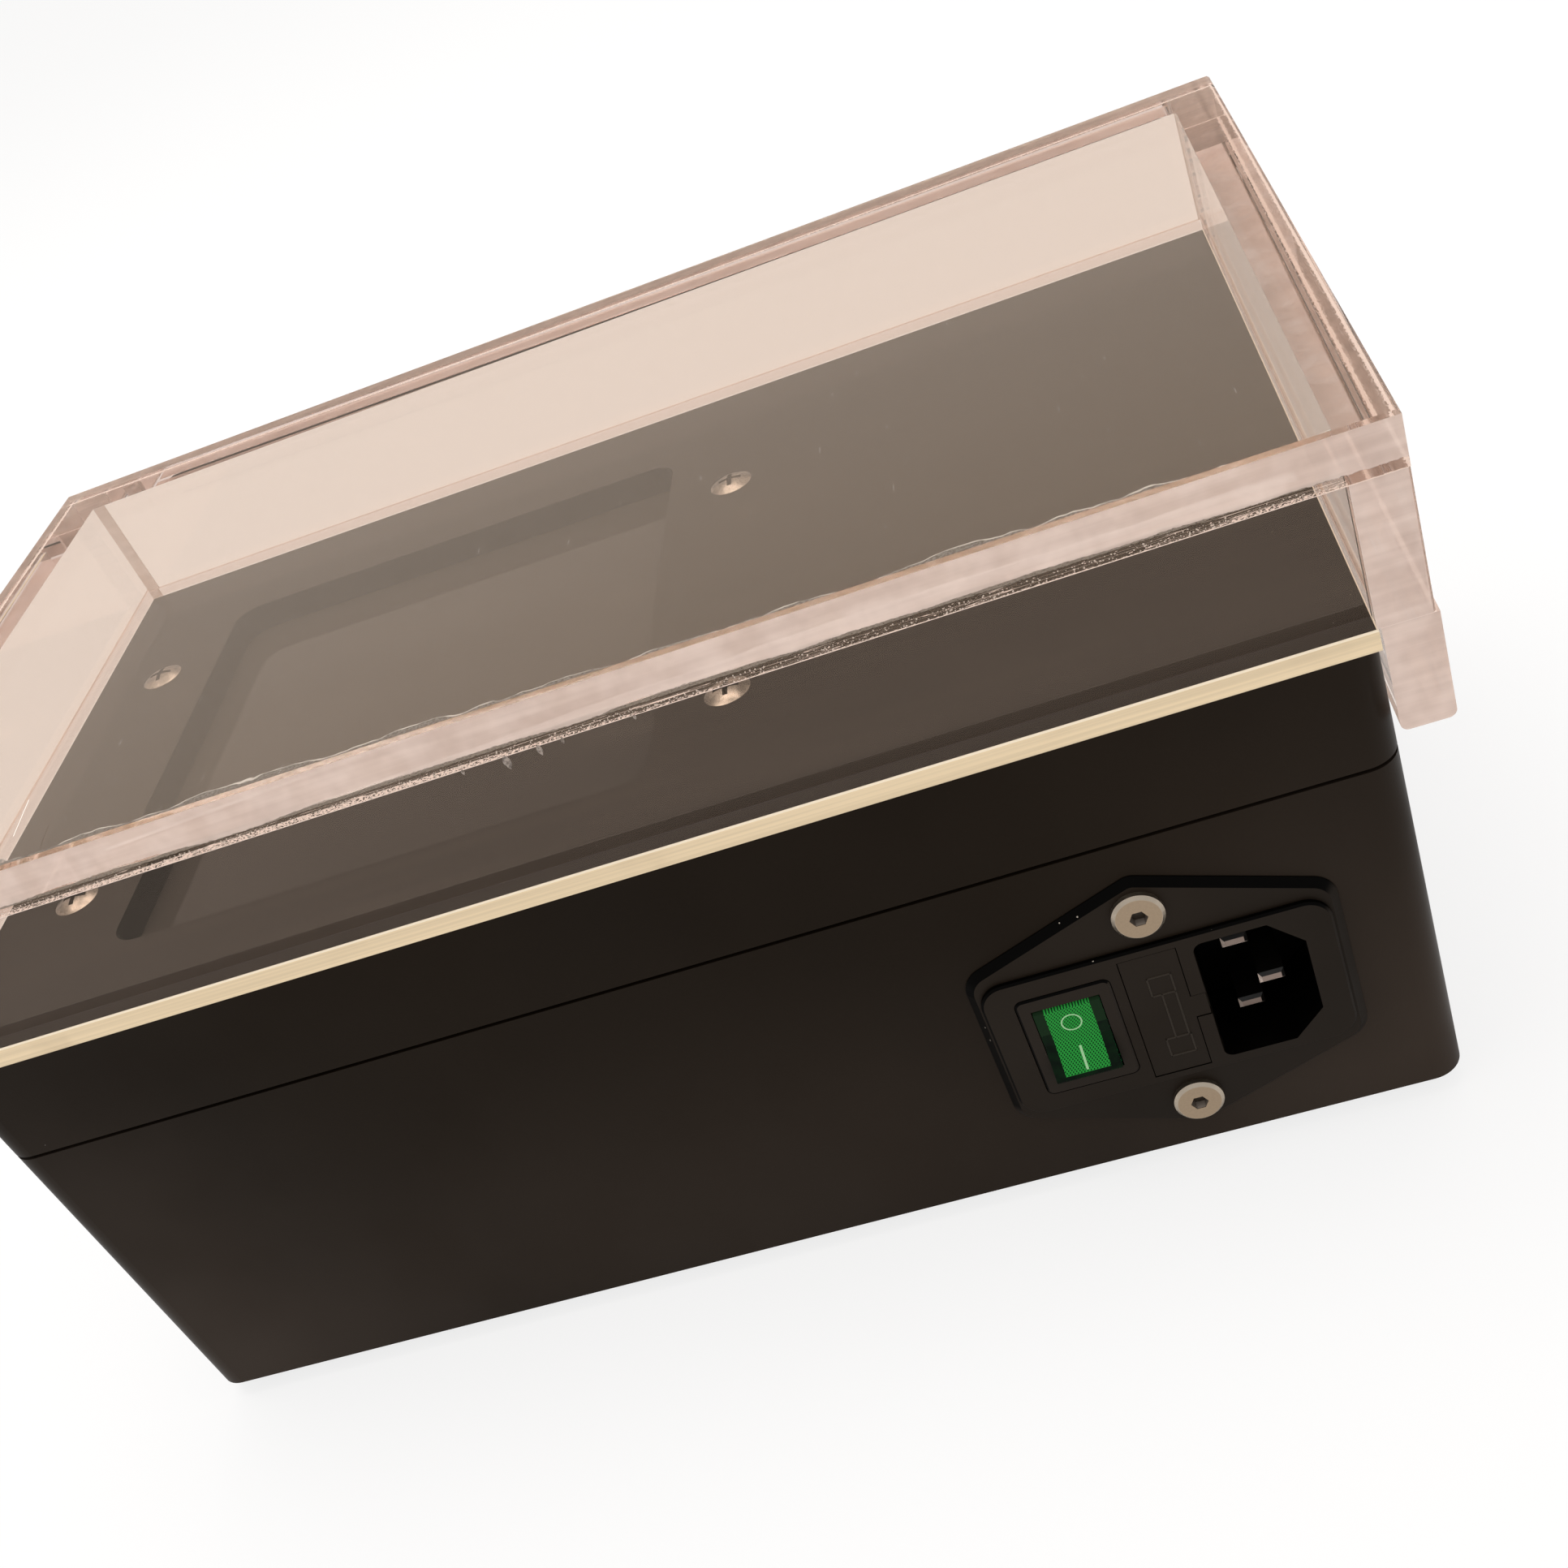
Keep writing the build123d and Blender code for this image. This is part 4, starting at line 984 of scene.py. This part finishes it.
@dataclass
class Cover:
    """The clear cover and its marks; sizes in millimetres."""

    bead: Scatter = Scatter(1.1, 0.16, 11, 1.0)
    bead_inset: float = 0.4
    bead_band: float = 3.4
    dust: Scatter = Scatter(0.0035, 0.09, 23)
    drip_places: Sequence[tuple[float, float, float]] = (
        (2.5, 1.2, 2.3),
        (-2.6, 0.9, 1.7),
        (9.0, 0.5, 0.9),
        (-6.2, 0.6, 1.0),
        (-17.0, 0.5, 0.8),
    )
    drip_proud: float = 0.22
    drip_least: float = 0.04
    drip_steps: int = 8
    drip_sides: int = 12
    over_bond: float = 0.1
    sheets: Sequence[str] = tuple(node for node in frame["nodes"] if node.startswith("cover_"))

    def touching(self, node: str) -> list[str]:
        """The sheets whose boxes meet a sheet's box."""
        low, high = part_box(node)
        slack = ON_FACE * MM
        found = []
        for other in self.sheets:
            a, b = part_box(other)
            if other != node and all(a[i] < high[i] + slack and low[i] < b[i] + slack for i in range(3)):
                found.append(other)
        return found

    def beads(self) -> None:
        """Bubbles held in the cement between the top sheet and the rear wall."""
        low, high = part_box("cover_rear_wall")
        front = high.y - self.bead_band * MM
        rear = high.y - self.bead_inset * MM
        faces = [level(low.x, front, high.x, rear, high.z)]
        piece = self.bead.strew("cement_beads", faces, Cement().make("bead_cement"))
        settle(piece, Body.COVER)

    def specks(self) -> None:
        """Dust on the top sheet."""
        low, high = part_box("cover_top")
        faces = [level(low.x + MM, low.y + MM, high.x - MM, high.y - MM, high.z - ON_FACE * MM)]
        finish = Cement((0.34, 0.29, 0.24)).make("cover_dust")
        piece = self.dust.strew("cover_dust", faces, finish)
        settle(piece, Body.COVER)

    def drips(self) -> None:
        """Clear drips that hang from the bond on the rear face."""
        _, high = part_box("cover_rear_wall")
        form = bmesh.new()
        top = high.z + self.over_bond * MM
        for x, width, length in self.drip_places:
            rings = []
            for step in range(self.drip_steps + 1):
                share = step / self.drip_steps
                swell = math.sin(math.pi * min(1.0, 0.25 + share * 0.75)) ** 0.6
                neck = 0.55 + 0.45 * math.sin(math.pi * share)
                half = width / 2 * MM * max(self.drip_least, swell * neck)
                proud = self.drip_proud * MM * max(self.drip_least, swell)
                ring = []
                for turn in range(self.drip_sides + 1):
                    angle = math.pi * turn / self.drip_sides
                    place = (x * MM + half * math.cos(angle), high.y + proud * math.sin(angle))
                    ring.append(form.verts.new((*place, top - share * length * MM)))
                rings.append(ring)
            skin(form, rings)
        finish = ClearDrip().make("drip_cement")
        settle(formed("cement_drips", form, finish, smooth=True), Body.COVER)

    def dress(self) -> None:
        """Gives each sheet its own acrylic, clear where it is cemented to a neighbour."""
        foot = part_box("cover_rear_wall")[0].z
        for node in self.sheets:
            stands = abs(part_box(node)[0].z - foot) < ON_FACE * MM
            wear(node, Acrylic().make(node, self.touching(node), stands))

    def build(self) -> None:
        """Dresses the sheets and adds the marks."""
        self.dress()
        self.beads()
        self.specks()
        self.drips()


@dataclass
class FuseSign:
    """Raised signs on the face of the fuse drawer: two outlined boxes joined by two lines.

    Sizes are in millimetres from the centre of the inlet, u to the right seen from behind and w up.
    """

    ridge: float = 0.25
    proud: float = 0.12
    skirt: float = 0.05
    sunk: float = 0.02
    shoulder: float = 0.7
    crest: float = 0.6
    boxes: Sequence[tuple[float, float, float, float]] = ((-1.8, 1.85, 4.1, 7.8), (-1.85, 2.05, -8.9, -5.2))
    lines: Sequence[tuple[float, float, float, float]] = ((-0.3, -0.3, -5.2, 4.1), (1.8, 1.8, -5.2, 4.1))

    def bar(self, form: bmesh.types.BMesh, u0: float, u1: float, w0: float, w1: float) -> None:
        """Adds one ridge from u0 to u1 and from w0 to w1, with sloping flanks and mitred ends."""
        centre, _ = spans("inlet_body")
        base_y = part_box("fuse_drawer")[1].y
        wide = self.ridge / 2
        rings = []
        shoulder = self.proud * self.shoulder
        steps = ((wide * self.crest, self.proud), (wide, shoulder), (wide + self.skirt, -self.sunk))
        for reach, height in steps:
            y = base_y + height * MM
            left, right = centre.x - (u0 - reach) * MM, centre.x - (u1 + reach) * MM
            foot, head = centre.z + (w0 - reach) * MM, centre.z + (w1 + reach) * MM
            corners = ((left, foot), (right, foot), (right, head), (left, head))
            rings.append([form.verts.new((x, y, z)) for x, z in corners])
        skin(form, rings)

    def build(self, finish: Material) -> None:
        """Makes the sign as one piece on the drawer."""
        form = bmesh.new()
        for u0, u1, w0, w1 in self.boxes:
            for w in (w1, w0):
                self.bar(form, u0, u1, w, w)
            for u in (u0, u1):
                self.bar(form, u, u, w0, w1)
        for line in self.lines:
            self.bar(form, *line)
        settle(formed("fuse_sign", form, finish), Body.DRAWER)


@dataclass
class Housing:
    """Tray, lid, plate and what is inside them."""

    # its paler second colour is painted floor light towards the bottom and at the ends
    black: MouldedPlastic = MouldedPlastic(
        (0.0065, 0.0040, 0.0020), specular=0.07, haze_and_painted_floor_light=(0.036, 0.0265, 0.0205)
    )
    module: InletPlastic = InletPlastic(
        (0.011, 0.0075, 0.0050), roughness=0.5, grain=0.25, depth=0.006, specular=0.12
    )
    bezel: InletPlastic = InletPlastic(
        (0.012, 0.0085, 0.0060), roughness=0.42, grain=0.3, depth=0.005, specular=0.13
    )
    signs: MouldedPlastic = MouldedPlastic((0.020, 0.0150, 0.0105), roughness=0.4, specular=0.2, dust=0.0)
    plate_steel: Metal = Metal((0.36, 0.31, 0.255), roughness=0.3, stain=0.45)
    nickel: Metal = Metal((0.80, 0.76, 0.70), roughness=0.25)
    dust: Scatter = Scatter(0.012, 0.08, 5)
    glass_inset: float = 6.0
    zinc: Metal = Metal((0.58, 0.60, 0.62), roughness=0.35)
    bright: Metal = Metal((0.85, 0.85, 0.84), roughness=0.2, stretch=(0.05, 1.0, 1.0))
    white: PlainPlastic = PlainPlastic((0.78, 0.77, 0.73))
    tube: PlainPlastic = PlainPlastic((0.05, 0.03, 0.12), roughness=0.12)

    def dress(self) -> None:
        """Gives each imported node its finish."""
        finishes = {
            "housing_plastic": (self.black, ("base_tray", "lid_frame", "filter_frame")),
            "module_plastic": (self.module, ("inlet_body", "fuse_drawer")),
            "bezel_plastic": (self.bezel, ("switch_housing",)),
            "plate_metal": (AnodisedPlate(), ("top_plate",)),
            "stainless_steel": (self.plate_steel, ("plate_screws",)),
            "button_steel": (ButtonScrew(), ("inlet_screws",)),
            "contact_plating": (Contact(), ("inlet_blades",)),
            "nickel_plate": (self.nickel, ("switch_tabs",)),
            "zinc_plate": (self.zinc, ("tray_screws", "ballast_screws", "case_screws", "inlet_nuts")),
            "bright_sheet": (self.bright, ("reflector_tray", "lamp_caps")),
            "white_plastic": (self.white, ("lamp_holders", "ballast_case", "terminal_block")),
            "lamp_glass": (self.tube, ("lamp_tubes",)),
            "fuse_glass": (PlainPlastic((0.7, 0.7, 0.68), 0.1), ("fuses",)),
            "filter_glass": (FilterGlass(), ("filter_glass",)),
            "black_rubber": (Rubber(), ("filter_gasket", "rubber_feet")),
            "green_rocker": (RockerPlastic(), ("rocker",)),
        }
        for name, (finish, nodes) in finishes.items():
            material = finish.make(name)
            for node in nodes:
                wear(node, material)

    def plate_dust(self) -> None:
        """Dust on the plate round the window, and on the glass."""
        low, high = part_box("top_plate")
        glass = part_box("filter_glass")[1].z
        (x0, y0, _), (x1, y1, _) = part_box("filter_gasket")
        inner = self.glass_inset * MM
        z = high.z
        faces = [
            level(low.x, low.y, x0, high.y, z),
            level(x1, low.y, high.x, high.y, z),
            level(x0, low.y, x1, y0, z),
            level(x0, y1, x1, high.y, z),
            level(x0 + inner, y0 + inner, x1 - inner, y1 - inner, glass),
        ]
        finish = Cement((0.30, 0.25, 0.20)).make("plate_dust")
        piece = self.dust.strew("plate_dust", faces, finish)
        settle(piece, Body.HOUSING)

    def build(self) -> None:
        """Dresses the nodes, then adds the dust and the raised signs."""
        self.dress()
        self.plate_dust()
        FuseSign().build(self.signs.make("sign_plastic"))


@dataclass
class Studio:
    """Pale floor, soft light and the camera behind the object."""

    eye_x: float = -0.0890
    behind: float = 0.2162
    eye_z: float = 0.2284
    yaw: float = -0.253
    pitch: float = 0.662
    roll: float = -0.432
    lens: float = 42.53
    shift_x: float = -0.0629
    shift_y: float = 0.1255
    floor_size: float = 6.0
    floor_colour: Colour = (0.86, 0.85, 0.84)
    floor_glow: float = 0.8
    surround: Colour = (1.0, 0.97, 0.94)
    sky_strength: float = 0.85
    lamp_side: float = 0.3
    lamp_rise: float = 1.3
    lamp_size: float = 1.2
    lamp_power: float = 14.0
    bounces: int = 24
    glossy_bounces: int = 16

    def floor(self) -> None:
        """A large plain floor under the feet."""
        half = self.floor_size / 2
        mesh = patches("floor", [level(-half, -half, half, half, 0.0)])
        piece = placed("floor", mesh)
        graph = Graph("floor_paint")
        base = graph.tones(graph.noise(400.0), self.floor_colour, 0.98)
        paint = graph.principled(base, 0.9, {"Specular IOR Level": 0.1})
        glow = graph.shader("Emission", {"Strength": 1.0})
        lit = graph.mix_shader(graph.ray(*SEEN) * self.floor_glow, paint, glow)
        mesh.materials.append(graph.finish(lit))

    def sky(self) -> None:
        """A soft even surround that is white where it is seen."""
        world = bpy.data.worlds.new("surround")
        bpy.context.scene.world = world
        world.use_nodes = True
        nodes = Nodes(world.node_tree)
        dim = nodes.shader("Background", {"Color": self.surround, "Strength": self.sky_strength})
        bright = nodes.shader("Background", {"Strength": 1.0})
        nodes.node("ShaderNodeOutputWorld", None, {0: nodes.mix_shader(nodes.ray(*SEEN), dim, bright)})

    def lamp(self) -> None:
        """One square soft lamp high over the front right, facing the origin."""
        light = bpy.data.lights.new("overhead", "AREA")
        light.size = self.lamp_size
        light.energy = self.lamp_power
        lamp = placed("overhead", light)
        lamp.location = (self.lamp_side, -self.lamp_side, CAD_BOX[1][2] + self.lamp_rise)
        lamp.rotation_euler = (-lamp.location).to_track_quat("-Z", "Y").to_euler()

    def camera(self) -> None:
        """The camera: places in metres, turns in radians, and shifts in widths of the frame."""
        flat = Vector((-math.sin(self.yaw), -math.cos(self.yaw), 0.0))
        forward = flat * math.cos(self.pitch) + Vector((0.0, 0.0, -math.sin(self.pitch)))
        right = Vector((-math.cos(self.yaw), math.sin(self.yaw), 0.0))
        up = right.cross(forward)
        turned = right * math.cos(self.roll) + up * math.sin(self.roll)
        raised = up * math.cos(self.roll) - right * math.sin(self.roll)
        data = bpy.data.cameras.new("camera")
        data.lens = self.lens
        data.shift_x = self.shift_x
        data.shift_y = self.shift_y
        data.clip_start = 0.01
        camera = placed("camera", data)
        frame_axes = Matrix((turned, raised, -forward)).transposed()
        eye = Vector((self.eye_x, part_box("base_tray")[1].y + self.behind, self.eye_z))
        camera.matrix_world = Matrix.Translation(eye) @ frame_axes.to_4x4()
        bpy.context.scene.camera = camera

    def build(self) -> None:
        """Sets the whole stage."""
        bpy.context.scene.view_settings.view_transform = "Standard"
        cycles = bpy.context.scene.cycles
        cycles.glossy_bounces = self.glossy_bounces
        cycles.max_bounces = cycles.transmission_bounces = cycles.transparent_max_bounces = self.bounces
        self.floor()
        self.sky()
        self.lamp()
        self.camera()


def main() -> None:
    """Builds everything in order."""
    logging.basicConfig(level=logging.INFO, format="%(message)s")
    Studio().build()
    Housing().build()
    Cover().build()


if __name__ == "__main__":
    main()
